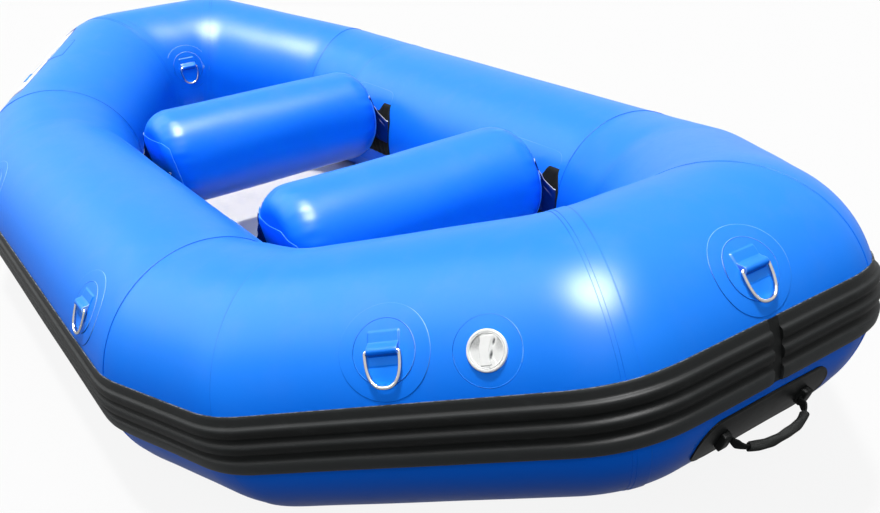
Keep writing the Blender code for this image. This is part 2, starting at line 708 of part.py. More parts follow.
def make_handle_grip(name, quadrant):
    """A strap between the lugs that arches outward, with a thick padded grip in its middle."""
    span, reach = HANDLE_HALF_SPAN, HANDLE_REACH
    inside = span - HANDLE_LUG / 2 - 0.004
    arch = [(inside * math.cos(t), reach * math.sin(t) ** 0.7)
            for t in (k * math.pi / 12 for k in range(1, 12))]
    points = [(span + HANDLE_LUG / 2 - 0.001, 0), (inside, 0)] + arch + \
             [(-inside, 0), (-span - HANDLE_LUG / 2 + 0.001, 0)]
    curve = bpy.data.curves.new(name, "CURVE")
    curve.dimensions = "3D"
    curve.bevel_depth = HANDLE_STRAP_RADIUS
    curve.bevel_resolution = 2
    curve.use_fill_caps = True
    spline = curve.splines.new("POLY")
    spline.points.add(len(points) - 1)
    for point, (x, z) in zip(spline.points, points):
        point.co = (x, 0, z, 1)
        padded = abs(x) < span * 0.70
        point.radius = HANDLE_GRIP_RADIUS / HANDLE_STRAP_RADIUS if padded else 1.0
    frame = handle_frame(quadrant) @ Matrix.Translation((0, 0, HANDLE_HINGE_LIFT))
    return new_object(name, curve, BLACK_WEBBING, frame)


# Hull valves

def valve_frame(quadrant):
    return tube_frame(2, VALVE_ALONG, VALVE_ANGLE, quadrant)


def make_valve_body(name, quadrant):
    """The flange, the neck that goes in through the fabric, and the seat and guide inside it."""
    flange, top = VALVE_FLANGE_RADIUS, FIT_GAP + VALVE_FLANGE_THICKNESS
    neck, depth, bore = VALVE_NECK_RADIUS, VALVE_NECK_DEPTH, VALVE_BORE_RADIUS
    recess = VALVE_CAP_RADIUS + FIT_GAP
    floor = top - VALVE_RECESS_DEPTH
    profile = [(flange - 0.0015, top), (flange, top - 0.001), (flange, FIT_GAP), (neck, FIT_GAP),
               (neck, -depth), (VALVE_SEAT_RADIUS, -depth), (VALVE_SEAT_RADIUS, -depth + 0.003),
               (bore, -depth + 0.006), (bore, floor), (recess, floor), (recess, top)]
    item = turned(name, profile, WHITE_PLASTIC, valve_frame(quadrant))
    middle = Matrix.Translation((0, 0, -depth / 2))
    guide = cutter(name + "_guide", box(name, (2 * bore + 0.002, *VALVE_GUIDE), middle),
                   valve_frame(quadrant))
    boolean(item, "UNION", guide)
    hole = cutter(name + "_guide_hole", cylinder(name, VALVE_STEM_RADIUS + FIT_GAP, 0.008, 12, middle),
                  valve_frame(quadrant))
    boolean(item, "DIFFERENCE", hole)
    return item


def make_valve_plunger(name, quadrant):
    """The sprung stem and the disc that shuts against the seat from inside the tube."""
    stem, disc = VALVE_STEM_RADIUS, VALVE_SEAT_RADIUS + 0.0025
    shut = -VALVE_NECK_DEPTH - FIT_GAP
    head = (VALVE_GUIDE[1] - VALVE_NECK_DEPTH) / 2 + VALVE_TRAVEL + VALVE_STEM_HEAD + FIT_GAP
    profile = [(0, head), (2 * stem, head), (2 * stem, head - VALVE_STEM_HEAD),
               (stem, head - VALVE_STEM_HEAD),
               (stem, shut), (disc, shut), (disc, shut - 0.0025), (0, shut - 0.0025)]
    return turned(name, profile, BLACK_RUBBER, valve_frame(quadrant), 16, closed=False)


def make_valve_cap(name, quadrant):
    """The cap in the flange's recess, with a rim, a plug below and a bar across to turn it by."""
    top = FIT_GAP + VALVE_FLANGE_THICKNESS
    under = top - VALVE_RECESS_DEPTH + FIT_GAP
    plug = VALVE_BORE_RADIUS - FIT_GAP
    rim, edge = VALVE_CAP_RADIUS, top + 0.0008
    profile = [(0, under + 0.0015), (rim - 0.005, under + 0.0015), (rim - 0.004, edge), (rim, edge),
               (rim, under), (plug, under), (plug, under - VALVE_PLUG), (0, under - VALVE_PLUG)]
    item = turned(name, profile, WHITE_PLASTIC, valve_frame(quadrant), closed=False)
    length, width, height = VALVE_GRIP_BAR
    middle = Matrix.Translation((0, 0, under + 0.001 + height / 2))
    boolean(item, "UNION", cutter(name + "_bar", box(name, (width, length, height), middle),
                                  valve_frame(quadrant)))
    return item


def cut_valve_hole(tube, quadrant):
    hole = cylinder(tube.name + "_valve_hole", VALVE_NECK_RADIUS + FIT_GAP, VALVE_NECK_DEPTH)
    boolean(tube, "DIFFERENCE", cutter(tube.name + "_valve_hole", hole, valve_frame(quadrant)))


def make_hull():
    for side, quadrant in (("starboard", STARBOARD_BOW), ("port", PORT_BOW)):
        make_side_tube("side_tube_" + side, quadrant)
        make_baffle("side_baffle_" + side, quadrant)
    for corner, quadrant in QUADRANTS.items():
        tube = make_quarter_tube("quarter_tube_" + corner, quadrant)
        if quadrant in (STARBOARD_BOW, PORT_STERN):
            cut_valve_hole(tube, quadrant)
    make_end_tube("end_tube_bow", STARBOARD_BOW)
    make_end_tube("end_tube_stern", STARBOARD_STERN)
    make_floor()


def make_thwarts():
    for end, fore in (("fore", 1), ("aft", -1)):
        make_thwart(end + "_thwart", fore)
        make_thwart_valve(end + "_thwart_valve", fore)
        for side, quadrant in (("starboard", STARBOARD_BOW), ("port", PORT_BOW)):
            make_thwart_flap(f"{end}_thwart_flap_{side}", fore, quadrant)
            make_thwart_strap(f"{end}_thwart_strap_{side}", fore, quadrant)


def make_fittings():
    make_rub_strip()
    make_splice_cover()
    make_rings()
    for end, quadrant in (("bow", STARBOARD_BOW), ("stern", STARBOARD_STERN)):
        make_handle_patch("handle_patch_" + end, quadrant)
        make_handle_grip("handle_grip_" + end, quadrant)
    for end, quadrant in (("bow", STARBOARD_BOW), ("stern", PORT_STERN)):
        make_valve_body("valve_body_" + end, quadrant)
        make_valve_plunger("valve_plunger_" + end, quadrant)
        make_valve_cap("valve_cap_" + end, quadrant)


clear_scene()
RAFT = new_collection("inflatable_river_raft")
CUTTERS = new_collection("cutters")
BLUE_FABRIC = new_material("blue_coated_fabric", (0.006, 0.17, 0.95), 0.38)
GREY_FABRIC = new_material("grey_coated_fabric", (0.45, 0.46, 0.46), 0.55)
BLACK_RUBBER = new_material("black_rubber", (0.028, 0.030, 0.030), 0.55)
BLACK_WEBBING = new_material("black_webbing", (0.012, 0.014, 0.013), 0.75)
STEEL = new_material("stainless_steel", (0.62, 0.63, 0.64), 0.22, 1.0)
WHITE_PLASTIC = new_material("white_plastic", (0.82, 0.83, 0.83), 0.35)
make_hull()
make_thwarts()
make_fittings()
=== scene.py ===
"""Inflatable river raft: the fabric, rubber, webbing and metal that show, built round its solids.

Metres, +X to the bow, +Y to port, +Z up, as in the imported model. The hull is a lap of twelve
straight runs that starts at the after end of the starboard side and goes forward: side, gusset,
quarter, bow end, quarter, gusset, port side, gusset, quarter, stern end, quarter and gusset. Every
glued piece is given by where it lies on that lap, so it follows the tube's bends and its seams.
"""
import math

import bpy
import numpy as np
from bpy.props import FloatProperty, FloatVectorProperty, PointerProperty
from mathutils import Matrix, Vector


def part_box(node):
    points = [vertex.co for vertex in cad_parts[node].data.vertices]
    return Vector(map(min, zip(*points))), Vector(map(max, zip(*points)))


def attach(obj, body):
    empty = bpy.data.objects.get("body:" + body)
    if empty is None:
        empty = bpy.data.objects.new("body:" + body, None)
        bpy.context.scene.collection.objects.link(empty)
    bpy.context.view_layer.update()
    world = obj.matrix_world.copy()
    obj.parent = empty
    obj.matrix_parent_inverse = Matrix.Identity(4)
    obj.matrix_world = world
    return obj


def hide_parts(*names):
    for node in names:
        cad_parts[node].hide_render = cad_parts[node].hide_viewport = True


bl_info = {
    "name": "Inflatable River Raft",
    "version": (1, 0, 0),
    "blender": (4, 5, 0),
    "location": "View3D > Sidebar > Raft",
    "description": "Dresses an inflatable river raft in coated fabric, rubber, webbing and steel",
    "category": "Add Mesh",
}

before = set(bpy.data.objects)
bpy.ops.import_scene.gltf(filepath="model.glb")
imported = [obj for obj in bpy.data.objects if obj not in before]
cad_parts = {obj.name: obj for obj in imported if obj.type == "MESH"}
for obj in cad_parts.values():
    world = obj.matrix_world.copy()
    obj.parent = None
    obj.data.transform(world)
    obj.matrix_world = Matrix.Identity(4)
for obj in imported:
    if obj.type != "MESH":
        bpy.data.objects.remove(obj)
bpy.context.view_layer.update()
SIDE_LOW, SIDE_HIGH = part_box("side_tube_starboard")

# The hull's line, as in the solids
FACETS = 32
AXIS_HEIGHT = (SIDE_LOW.z + SIDE_HIGH.z) / 2
RADIUS = (SIDE_HIGH.z - SIDE_LOW.z) / 2 / math.cos(math.pi / FACETS)
HALF_BEAM = -(SIDE_LOW.y + SIDE_HIGH.y) / 2
SIDE, GUSSET, QUARTER, END = 1.122, 0.262, 0.522, 0.344
GUSSET_TURN, GUSSET_RISE = 15.5, 7.1
QUARTER_TURN, QUARTER_RISE = 39.2, 12.2

# Thwarts
THWART_STATION = 0.394
THWART_RADIUS = 0.136
THWART_HEIGHT = AXIS_HEIGHT + 0.085
THWART_END = HALF_BEAM - RADIUS - 0.0105
THWART_VALVE_OFFSET = 0.200
SHOULDER_RADIUS = 0.056
SHOULDER_DEPTH = 0.066

# Rub strip: angle of its upper edge in degrees, and the gap between its ends
STRIP_TOP = 11.0
STRIP_SPLICE = 0.022

# D-rings, in the fitting's own frame: the bar's height and half length, the wire's radius, the
# bends at the bar, the legs, the lean in degrees and half the width of the loop
BAR_HEIGHT = 0.008175
BAR_HALF = 0.02825
RING_WIRE = 0.00275
RING_CORNER = 0.0045
RING_LEG = 0.026
RING_LEAN = 7.741
CHAPE_HALF = 0.0250

# Carry handles: the hinge's lift, half the distance between lugs, how far the arch stands out, and
# the patch's half length, half depth and corner radius
HINGE_LIFT = 0.0090
HANDLE_SPAN = 0.092
HANDLE_REACH = 0.036
HANDLE_PATCH, HANDLE_DEPTH, HANDLE_CORNER = 0.149, 0.050, 0.046

# Hull valves
VALVE_FLANGE = 0.031
VALVE_TOP = 0.0045
CAP_RADIUS = 0.0262

# Hull panels: how high a lap stands, over what length it fades, and how far a gusset goes under
LAP_LIFT, LAP_TAPER, LAP_UNDER = 0.0012, 0.050, 0.018

# Floor sheet: how far under the tubes it lies, and its thickness
FLOOR_LIFT, FLOOR_THICKNESS = 0.0022, 0.0012

# The slot of each finish
SLOTS = {"moulded_rubber": "black_rubber", "moulded_plastic": "white_plastic",
         "polished_steel": "stainless_steel", "floor_fabric": "grey_coated_fabric",
         "bare_panel": "grey_coated_fabric",
         **dict.fromkeys(("woven_webbing", "handle_cloth"), "black_webbing"),
         **dict.fromkeys(("hull_fabric", "tape_fabric", "patch_fabric", "flap_fabric", "skirt_fabric",
                          "painted_shade_web_fabric", "thwart_fabric"), "blue_coated_fabric")}

# Grids: columns round a tube, the edge distance where no cut edge is near, how deep a glued
# piece's underside is sunk, and the rounding of its rim
AROUND = 144
NO_EDGE = 0.05
SINK = 0.0002
RIM = 0.00035


class RaftSettings(bpy.types.PropertyGroup):
    """Sizes and colours of the raft's finish."""
    fabric_colour: FloatVectorProperty(name="Hull fabric", description="Coated fabric of hull and thwarts",
                                       subtype="COLOR", size=3, min=0, max=1, default=(0.002, 0.165, 0.97))
    floor_colour: FloatVectorProperty(name="Floor fabric", description="Coated fabric of the floor sheet",
                                      subtype="COLOR", size=3, min=0, max=1, default=(0.84, 0.80, 0.70))
    rubber_colour: FloatVectorProperty(name="Rubber", description="Rub strip and handle patches",
                                       subtype="COLOR", size=3, min=0, max=1,
                                       default=(0.0045, 0.0052, 0.0052))
    webbing_colour: FloatVectorProperty(name="Webbing", description="Straps and handles",
                                        subtype="COLOR", size=3, min=0, max=1,
                                        default=(0.0050, 0.0058, 0.0056))
    steel_colour: FloatVectorProperty(name="Steel", description="D-rings", subtype="COLOR", size=3,
                                      min=0, max=1, default=(0.56, 0.55, 0.545))
    plastic_colour: FloatVectorProperty(name="Plastic", description="Valves", subtype="COLOR", size=3,
                                        min=0, max=1, default=(0.90, 0.91, 0.90))
    fabric_thickness: FloatProperty(name="Fabric", description="Thickness of the hull fabric",
                                    unit="LENGTH", default=0.0011, min=0.0005, max=0.003)
    patch_thickness: FloatProperty(name="Patches", description="Thickness of a glued patch or tape",
                                   unit="LENGTH", default=0.0009, min=0.0005, max=0.003)
    seam_tape: FloatProperty(name="Seam tape", description="Width of the tape over an end seam",
                             unit="LENGTH", default=0.034, min=0.02, max=0.06)
    ring_patch: FloatProperty(name="Ring patch", description="Radius of a D-ring's outer patch",
                              unit="LENGTH", default=0.075, min=0.05, max=0.09)
    ring_inner_patch: FloatProperty(name="Ring inner patch", description="Radius of a D-ring's inner patch",
                                    unit="LENGTH", default=0.0515, min=0.03, max=0.06)
    valve_patch: FloatProperty(name="Valve patch", description="Radius of the disc under a hull valve",
                               unit="LENGTH", default=0.0535, min=0.035, max=0.07)


# The hull's surface

def heading(turn, rise):
    """Unit vector of a run that has turned inboard and risen by these angles in degrees."""
    turn, rise = math.radians(turn), math.radians(rise)
    return np.array([math.cos(rise) * math.cos(turn), math.cos(rise) * math.sin(turn), math.sin(rise)])


def shortest_turn(a, b):
    """Rotation matrix that takes unit vector a to b by the shortest way."""
    x, y, z = np.cross(a, b)
    skew = np.array([[0, -z, y], [z, 0, -x], [-y, x, 0]])
    return np.eye(3) + skew + skew @ skew / (1 + a @ b)


def hull_lap():
    """Heading, length, start, section axes, start-plane normal and corner rounding of each run."""
    quadrant = [heading(0, 0), heading(GUSSET_TURN, GUSSET_RISE), heading(QUARTER_TURN, QUARTER_RISE)]
    headings = quadrant + [heading(90, 0)]
    headings += [h * (-1, 1, -1) for h in quadrant[:0:-1]] + [-quadrant[0]]
    headings += [h * (-1, -1, 1) for h in quadrant[1:]] + [-heading(90, 0)]
    headings += [h * (1, -1, -1) for h in quadrant[:0:-1]]
    lengths = np.array([SIDE, GUSSET, QUARTER, END, QUARTER, GUSSET] * 2)
    headings = np.array(headings)
    starts = np.array([-SIDE / 2, -HALF_BEAM, AXIS_HEIGHT]) + np.vstack(
        [np.zeros(3), np.cumsum(headings * lengths[:, None], axis=0)[:-1]])
    out, up = [np.array([0.0, -1.0, 0.0])], [np.array([0.0, 0.0, 1.0])]
    for before, after in zip(headings, headings[1:]):
        turn = shortest_turn(before, after)
        out.append(turn @ out[-1])
        up.append(turn @ up[-1])
    normals = headings + np.roll(headings, 1, axis=0)
    normals /= np.linalg.norm(normals, axis=1)[:, None]
    rounding = np.array([0.045, 0.045, 0.060, 0.100, 0.100, 0.060] * 2)
    return headings, lengths, starts, np.array(out), np.array(up), normals, rounding


HEADINGS, LENGTHS, STARTS, OUT, UP, NORMALS, ROUNDING = hull_lap()
RUNS = len(HEADINGS)
SIDE_STARBOARD, QUARTER_BOW_STARBOARD, END_BOW, QUARTER_BOW_PORT = 0, 2, 3, 4
SIDE_PORT, QUARTER_STERN_PORT, END_STERN, QUARTER_STERN_STARBOARD = 6, 8, 9, 10


def dot(a, b):
    return np.einsum("...k,...k->...", a, b)


def smooth(x):
    """0 below 0, 1 above 1 and 3x^2 - 2x^3 between."""
    x = np.clip(x, 0, 1)
    return x * x * (3 - 2 * x)


def circle(count):
    """Angles once round from 0, without the one that would meet the first."""
    return np.linspace(0, 2 * math.pi, count, endpoint=False)


def superellipse(t, power):
    """Points of a closed curve between a circle, at power 2, and a square."""
    c, s = np.cos(t), np.sin(t)
    k = (np.abs(c) ** power + np.abs(s) ** power) ** (-1 / power)
    return k * c, k * s


def distances(path):
    """How far along a line of points each of them lies."""
    return np.append(0, np.cumsum(np.linalg.norm(np.diff(path, axis=0), axis=-1)))


def sideways(path):
    """Unit vectors square to an open flat line, to the left of its direction of travel."""
    ahead = np.gradient(path, axis=0)
    ahead /= np.linalg.norm(ahead, axis=1)[:, None]
    return np.stack([-ahead[:, 1], ahead[:, 0]], -1)


def radial(run, angle, radius):
    """Vector out from the run's axis: radius times outboard cosine and up sine of the angle."""
    return radius[..., None] * (OUT[run] * np.cos(angle)[..., None] + UP[run] * np.sin(angle)[..., None])


def reach_of(run, arm):
    """How far along its axis a run starts and ends for a point that stands off by this arm."""
    after = (run + 1) % RUNS
    first = -dot(arm, NORMALS[run]) / dot(HEADINGS[run], NORMALS[run])
    last = LENGTHS[run] - dot(arm, NORMALS[after]) / dot(HEADINGS[run], NORMALS[after])
    return first, last


def span_of(run, angle):
    """How far along its axis a run of the bare tube starts and ends at an angle."""
    run = np.asarray(run)
    return reach_of(run, radial(run, angle, np.full(angle.shape, RADIUS)))


def unevenness(run, share, angle):
    """Slow waves, at most 0.7 mm high, that fit once round the lap, so fabric looks inflated."""
    lap = (run + share) * 2 * math.pi / RUNS
    return (0.00030 * np.sin(5 * lap + 2 * angle + 0.7) + 0.00022 * np.sin(17 * lap - 3 * angle + 2.1)
            + 0.00016 * np.sin(31 * lap + 5 * angle))


def hull_point(run, share, angle, lift=0.0):
    """Point of the hull at a share of a run, an angle round it and a lift off it.

    The point goes from the run's start plane to its end plane at its angle. Near a corner it moves
    by the change of heading times (rounding - distance)^2 / (4 rounding), which bends the two
    straight lines into one parabola, wider on the outboard side. A smooth maximum keeps it above
    the ground.
    """
    run, share, angle, lift = np.broadcast_arrays(run, share, angle, lift)
    after = (run + 1) % RUNS
    arm = radial(run, angle, RADIUS + lift + unevenness(run, share, angle))
    first, last = reach_of(run, arm)
    along = first + share * (last - first)
    place = STARTS[run] + HEADINGS[run] * along[..., None] + arm
    for corner, gap, turn in ((run, along - first, HEADINGS[run] - HEADINGS[run - 1]),
                              (after, last - along, HEADINGS[after] - HEADINGS[run])):
        c = ROUNDING[corner] * (0.72 + 0.28 * np.cos(angle))
        place = place + turn * (np.maximum(c - gap, 0) ** 2 / (4 * c))[..., None]
    place[..., 2] = (place[..., 2] + np.sqrt(place[..., 2] ** 2 + 0.0006 ** 2)) / 2
    return place


def unrolled(run, along, angle):
    """Run and share for a distance along a run that may pass its ends on to its neighbours."""
    run, along, angle = (np.array(a) for a in np.broadcast_arrays(run, along, angle))
    for _ in range(2):
        first, last = span_of(run, angle)
        ahead, behind = (run + 1) % RUNS, (run - 1) % RUNS
        over, under = along > last, along < first
        along = np.where(over, along - last + span_of(ahead, angle)[0],
                         np.where(under, along - first + span_of(behind, angle)[1], along))
        run = np.where(over, ahead, np.where(under, behind, run))
    first, last = span_of(run, angle)
    return run, (along - first) / (last - first)


class Spot:
    """A place for a fitting: X along the tube, Y up round it and Z straight out of it."""

    def __init__(self, run, along, degrees, inboard=False):
        self.run, self.along, self.turn = run, along, -1 if inboard else 1
        self.angle = math.radians(180 - degrees if inboard else degrees)

    def on_fabric(self, x, y, lift=0.0):
        """Points that follow the fabric, x and y metres away over its surface."""
        x, y, lift = np.broadcast_arrays(x, y, lift)
        angle = self.angle + self.turn * y / RADIUS
        run, share = unrolled(self.run, self.along + self.turn * x, angle)
        return hull_point(run, share, angle, lift)

    def matrix(self):
        """The fitting's rigid frame as rotation and place."""
        z = OUT[self.run] * math.cos(self.angle) + UP[self.run] * math.sin(self.angle)
        x = HEADINGS[self.run] * self.turn
        place = STARTS[self.run] + HEADINGS[self.run] * self.along + z * RADIUS
        return np.array([x, np.cross(z, x), z]), place

    def rigid(self, points):
        """Points of a rigid piece, given in the fitting's frame."""
        axes, place = self.matrix()
        return points @ axes + place

    def flat(self, points):
        """x and y of points in the fitting's frame, and their distance from its middle plus 1 mm."""
        axes, place = self.matrix()
        x, y = ((points - place) @ axes[:2].T).T
        return x, y, np.hypot(x, y) + 0.001


def ring_spots():
    """Each D-ring's name and place."""
    spots = {"bow_outer": Spot(END_BOW, END / 2, 31), "bow_inner": Spot(END_BOW, END / 2, 23, True),
             "stern_outer": Spot(END_STERN, END / 2, 31),
             "stern_inner": Spot(END_STERN, END / 2, 23, True)}
    near, mid = 0.127, 0.275  # from a side tube's end, and from a quarter's end at the gusset
    for name, side, first, quarter in (
            ("bow_starboard", SIDE_STARBOARD, False, QUARTER_BOW_STARBOARD),
            ("stern_starboard", SIDE_STARBOARD, True, QUARTER_STERN_STARBOARD),
            ("stern_port", SIDE_PORT, False, QUARTER_STERN_PORT),
            ("bow_port", SIDE_PORT, True, QUARTER_BOW_PORT)):
        away = quarter in (QUARTER_BOW_PORT, QUARTER_STERN_STARBOARD)
        spots[name + "_quarter"] = Spot(quarter, QUARTER - mid if away else mid, 31)
        spots[name + "_side"] = Spot(side, near if first else SIDE - near, 31)
    return spots


HANDLE_SPOTS = {"bow": Spot(END_BOW, END / 2, -34), "stern": Spot(END_STERN, END / 2, -34)}
VALVE_SPOTS = {"bow": Spot(QUARTER_BOW_STARBOARD, 0.436, 27.5),
               "stern": Spot(QUARTER_STERN_PORT, 0.436, 27.5)}


# Meshes from grids

class Shell:
    """Points, faces and face-corner UVs of a surface, with each point's distance from a cut edge."""

    def __init__(self, points, faces, uv, edge):
        self.points, self.faces, self.uv, self.edge = points, faces, uv, edge

    def __add__(self, other):
        shift = len(self.points)
        return Shell(np.vstack([self.points, other.points]),
                     self.faces + [[i + shift for i in face] for face in other.faces],
                     np.vstack([self.uv, other.uv]), np.concatenate([self.edge, other.edge]))

    def volume(self):
        """Signed volume: the sum over each face's fan of triangles of their triple products."""
        total = 0.0
        for size in {len(f) for f in self.faces}:
            corners = self.points[np.array([f for f in self.faces if len(f) == size])]
            for k in range(1, size - 1):
                total += dot(corners[:, 0], np.cross(corners[:, k], corners[:, k + 1])).sum() / 6
        return total

    def outward(self):
        """The same shell with its faces turned over if they look inwards."""
        if self.volume() < 0:
            sizes = [len(f) for f in self.faces]
            ends = np.cumsum(sizes)
            order = np.concatenate([np.arange(e - 1, e - s - 1, -1) for e, s in zip(ends, sizes)])
            self.faces, self.uv = [f[::-1] for f in self.faces], self.uv[order]
        return self


def grid(points, u=None, v=None, close_rows=False, close_columns=False, caps=False, edge=None):
    """A shell of quads from points[row, column], closed either way round or capped at both ends.

    u and v are the distances of rows and columns in metres. A closed direction carries its UV on
    past the join by the distance between its last two lines.
    """
    rows, columns = points.shape[:2]
    u = np.arange(rows) * 0.01 if u is None else np.asarray(u, float)
    v = np.arange(columns) * 0.01 if v is None else np.asarray(v, float)
    u, v = np.append(u, 2 * u[-1] - u[-2]), np.append(v, 2 * v[-1] - v[-2])
    r, c = np.meshgrid(np.arange(rows if close_rows else rows - 1),
                       np.arange(columns if close_columns else columns - 1), indexing="ij")
    corner_rows = np.stack([r, r + 1, r + 1, r], -1).reshape(-1, 4)
    corner_columns = np.stack([c, c, c + 1, c + 1], -1).reshape(-1, 4)
    quads = corner_rows % rows * columns + corner_columns % columns
    uv = np.stack([u[corner_rows], v[corner_columns]], -1).reshape(-1, 2)
    faces = quads.tolist()
    if caps:
        faces += [list(range(columns)), list(range((rows - 1) * columns, rows * columns))[::-1]]
        uv = np.vstack([uv, np.zeros((2 * columns, 2))])
    edge = np.broadcast_to(NO_EDGE if edge is None else edge, (rows, columns))
    return Shell(points.reshape(-1, 3), faces, uv, np.array(edge, float).ravel())


def piece(name, shell, look, body="hull", replaces=(), sharp=None, turn_out=True):
    """Puts a shell into the scene as one piece with a finish, that rides on a body."""
    if turn_out:
        shell.outward()
    mesh = bpy.data.meshes.new(name)
    mesh.from_pydata(shell.points.tolist(), [], shell.faces)
    layer = mesh.uv_layers.new(name="cloth")
    layer.data.foreach_set("uv", shell.uv.astype(np.float32).ravel())
    distance = mesh.attributes.new("edge_distance", "FLOAT", "POINT")
    distance.data.foreach_set("value", shell.edge.astype(np.float32))
    mesh.polygons.foreach_set("use_smooth", np.ones(len(mesh.polygons), bool))
    mesh.update()
    if sharp:
        mesh.set_sharp_from_angle(angle=math.radians(sharp))
    mesh.materials.append(finish(look))
    item = bpy.data.objects.new(name, mesh)
    bpy.context.scene.collection.objects.link(item)
    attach(item, body)
    if replaces:
        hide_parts(*replaces)
    return item


def close_rows_of(length):
    """Distances along a panel from 0 to its length, close together near both ends."""
    near = np.array([0, 0.001, 0.002, 0.0035, 0.006, 0.01, 0.015, 0.022, 0.03, 0.038, 0.047, 0.06])
    middle = max(int((length.max() - 2 * near[-1]) / 0.013), 2)
    share = np.linspace(0, 1, middle + 2)[1:-1, None]
    start = near[:, None] * np.minimum(1, 0.42 * length / near[-1])
    centre = start[-1] + share * (length - 2 * start[-1])
    return np.vstack([start, centre, length - start[::-1]])


def slab_section(width, top, steps):
    """Offset and lift of a flat strip's closed section, with rounded upper edges."""
    half = width / 2
    side = np.array([-half, -half, -half + 0.3 * RIM, -half + RIM])
    rise = np.array([-SINK, top - RIM, top - 0.3 * RIM, top])
    inner = np.linspace(-half + 3 * RIM, half - 3 * RIM, steps)
    return (np.concatenate([side, inner, -side[::-1]]),
            np.concatenate([rise, np.full(steps, top), rise[::-1]]))


def fabric_disc(spot, radius, thickness, base=0.0, outline=None, crown=None, columns=96, rows=0):
    """A patch glued on the tube: its outline scaled from the middle out, then back underneath.

    Row k holds the outline times its share of the radius. The lift is the thickness, rounded off
    over the last third of a millimetre, and the underside is sunk into what it is glued to.
    """
    t = circle(columns)
    x1, y1 = outline(t) if outline else (radius * np.cos(t), radius * np.sin(t))
    top = np.linspace(0.02, 0.985, rows) if rows else \
        [0.02, 0.12, 0.25, 0.38, 0.5, 0.6, 0.7, 0.78, 0.85, 0.9, 0.94, 0.97, 0.985]
    over = len(top) + 4
    share = np.concatenate([top, 1 - np.array([3.0, 1.0, 0.3, 0.0]) * RIM / radius, [1.0, 0.94, 0.5, 0.02]])
    lift = np.concatenate([np.full(len(top) + 1, thickness),
                           thickness - np.array([0.1, 0.4, 1.0]) * RIM, [-SINK] * 4]) + base
    distance = np.concatenate([radius * (1 - share[:over]), [0.0] * 4])
    lift = np.broadcast_to(lift[:, None], (len(share), columns)).copy()
    x, y = share[:, None] * x1, share[:, None] * y1
    if crown is not None:
        lift[:over] += crown(x[:over], y[:over])
    return grid(spot.on_fabric(x, y, lift), np.cumsum(np.append(0, np.abs(np.diff(share)) * radius)),
                t * radius, close_columns=True, caps=True, edge=distance[:, None])


def slab(outer, inner, u, v, edge):
    """Two equal grids closed into one thin sheet by a wall round their borders."""
    rows, columns = outer.shape[:2]
    count = rows * columns
    top = np.arange(count).reshape(rows, columns)
    quads = np.stack([top[:-1, :-1], top[1:, :-1], top[1:, 1:], top[:-1, 1:]], -1).reshape(-1, 4)
    rim = np.concatenate([top[:-1, 0], top[-1, :-1], top[:0:-1, -1], top[0, :0:-1]])
    after = np.roll(rim, -1)
    wall = np.stack([after, rim, rim + count, after + count], -1)
    faces = np.vstack([quads, quads[:, ::-1] + count, wall])
    across = np.stack(np.broadcast_arrays(np.asarray(u)[:, None], np.asarray(v)[None]), -1).reshape(-1, 2)
    distance = np.broadcast_to(edge, (rows, columns)).ravel()
    return Shell(np.vstack([outer.reshape(-1, 3), inner.reshape(-1, 3)]), faces.tolist(),
                 across[faces.ravel() % count], np.concatenate([distance, distance]))


def normals_of(points):
    """Unit normals of a grid: the cross product of its two directions of travel."""
    down, along = np.gradient(points, axis=0), np.gradient(points, axis=1)
    normal = np.cross(down, along)
    return normal / np.linalg.norm(normal, axis=-1)[..., None]


# Materials

class Paint:
    """A material's node tree with short calls to add and join its nodes."""

    def __init__(self, tree):
        self.tree = tree

    def add(self, kind, settings=None, **inputs):
        """A node with its settings; inputs are values or the sockets that feed them."""
        node = self.tree.nodes.new(kind)
        for key, value in (settings or {}).items():
            setattr(node, key, value)
        for key, value in inputs.items():
            numbered = key[0] == "i" and key[1:].isdigit()
            self.join(value, node.inputs[int(key[1:]) if numbered else key.replace("_", " ")])
        return node

    def join(self, value, socket):
        """Feeds a socket from another one, or sets it to a value."""
        if isinstance(value, bpy.types.NodeSocket):
            self.tree.links.new(value, socket)
        else:
            socket.default_value = value

    def attribute(self, name):
        return self.add("ShaderNodeAttribute", {"attribute_name": name}).outputs["Fac"]

    def parts(self, vector):
        return self.add("ShaderNodeSeparateXYZ", None, Vector=vector).outputs

    def math(self, operation, a, b=0.0, clamp=False):
        settings = {"operation": operation, "use_clamp": clamp}
        return self.add("ShaderNodeMath", settings, i0=a, i1=b).outputs[0]

    def plus(self, a, b, clamp=False):
        return self.math("ADD", a, b, clamp)

    def times(self, a, b, clamp=False):
        return self.math("MULTIPLY", a, b, clamp)

    def fade(self, value, low, high, to_low=0.0, to_high=1.0):
        node = self.add("ShaderNodeMapRange", {"interpolation_type": "SMOOTHSTEP"}, Value=value,
                        From_Min=low, From_Max=high, To_Min=to_low, To_Max=to_high)
        return node.outputs["Result"]

    def mix(self, factor, a, b, blend="MIX"):
        a, b = ((*colour, 1) if isinstance(colour, tuple) else colour for colour in (a, b))
        return self.add("ShaderNodeMix", {"data_type": "RGBA", "blend_type": blend},
                        i0=factor, i6=a, i7=b).outputs[2]

    def noise(self, vector, scale, detail=2.0, roughness=0.5):
        return self.add("ShaderNodeTexNoise", None, Vector=vector, Scale=scale, Detail=detail,
                        Roughness=roughness).outputs["Fac"]

    def group(self, tree, **inputs):
        return self.add("ShaderNodeGroup", {"node_tree": tree}, **inputs)


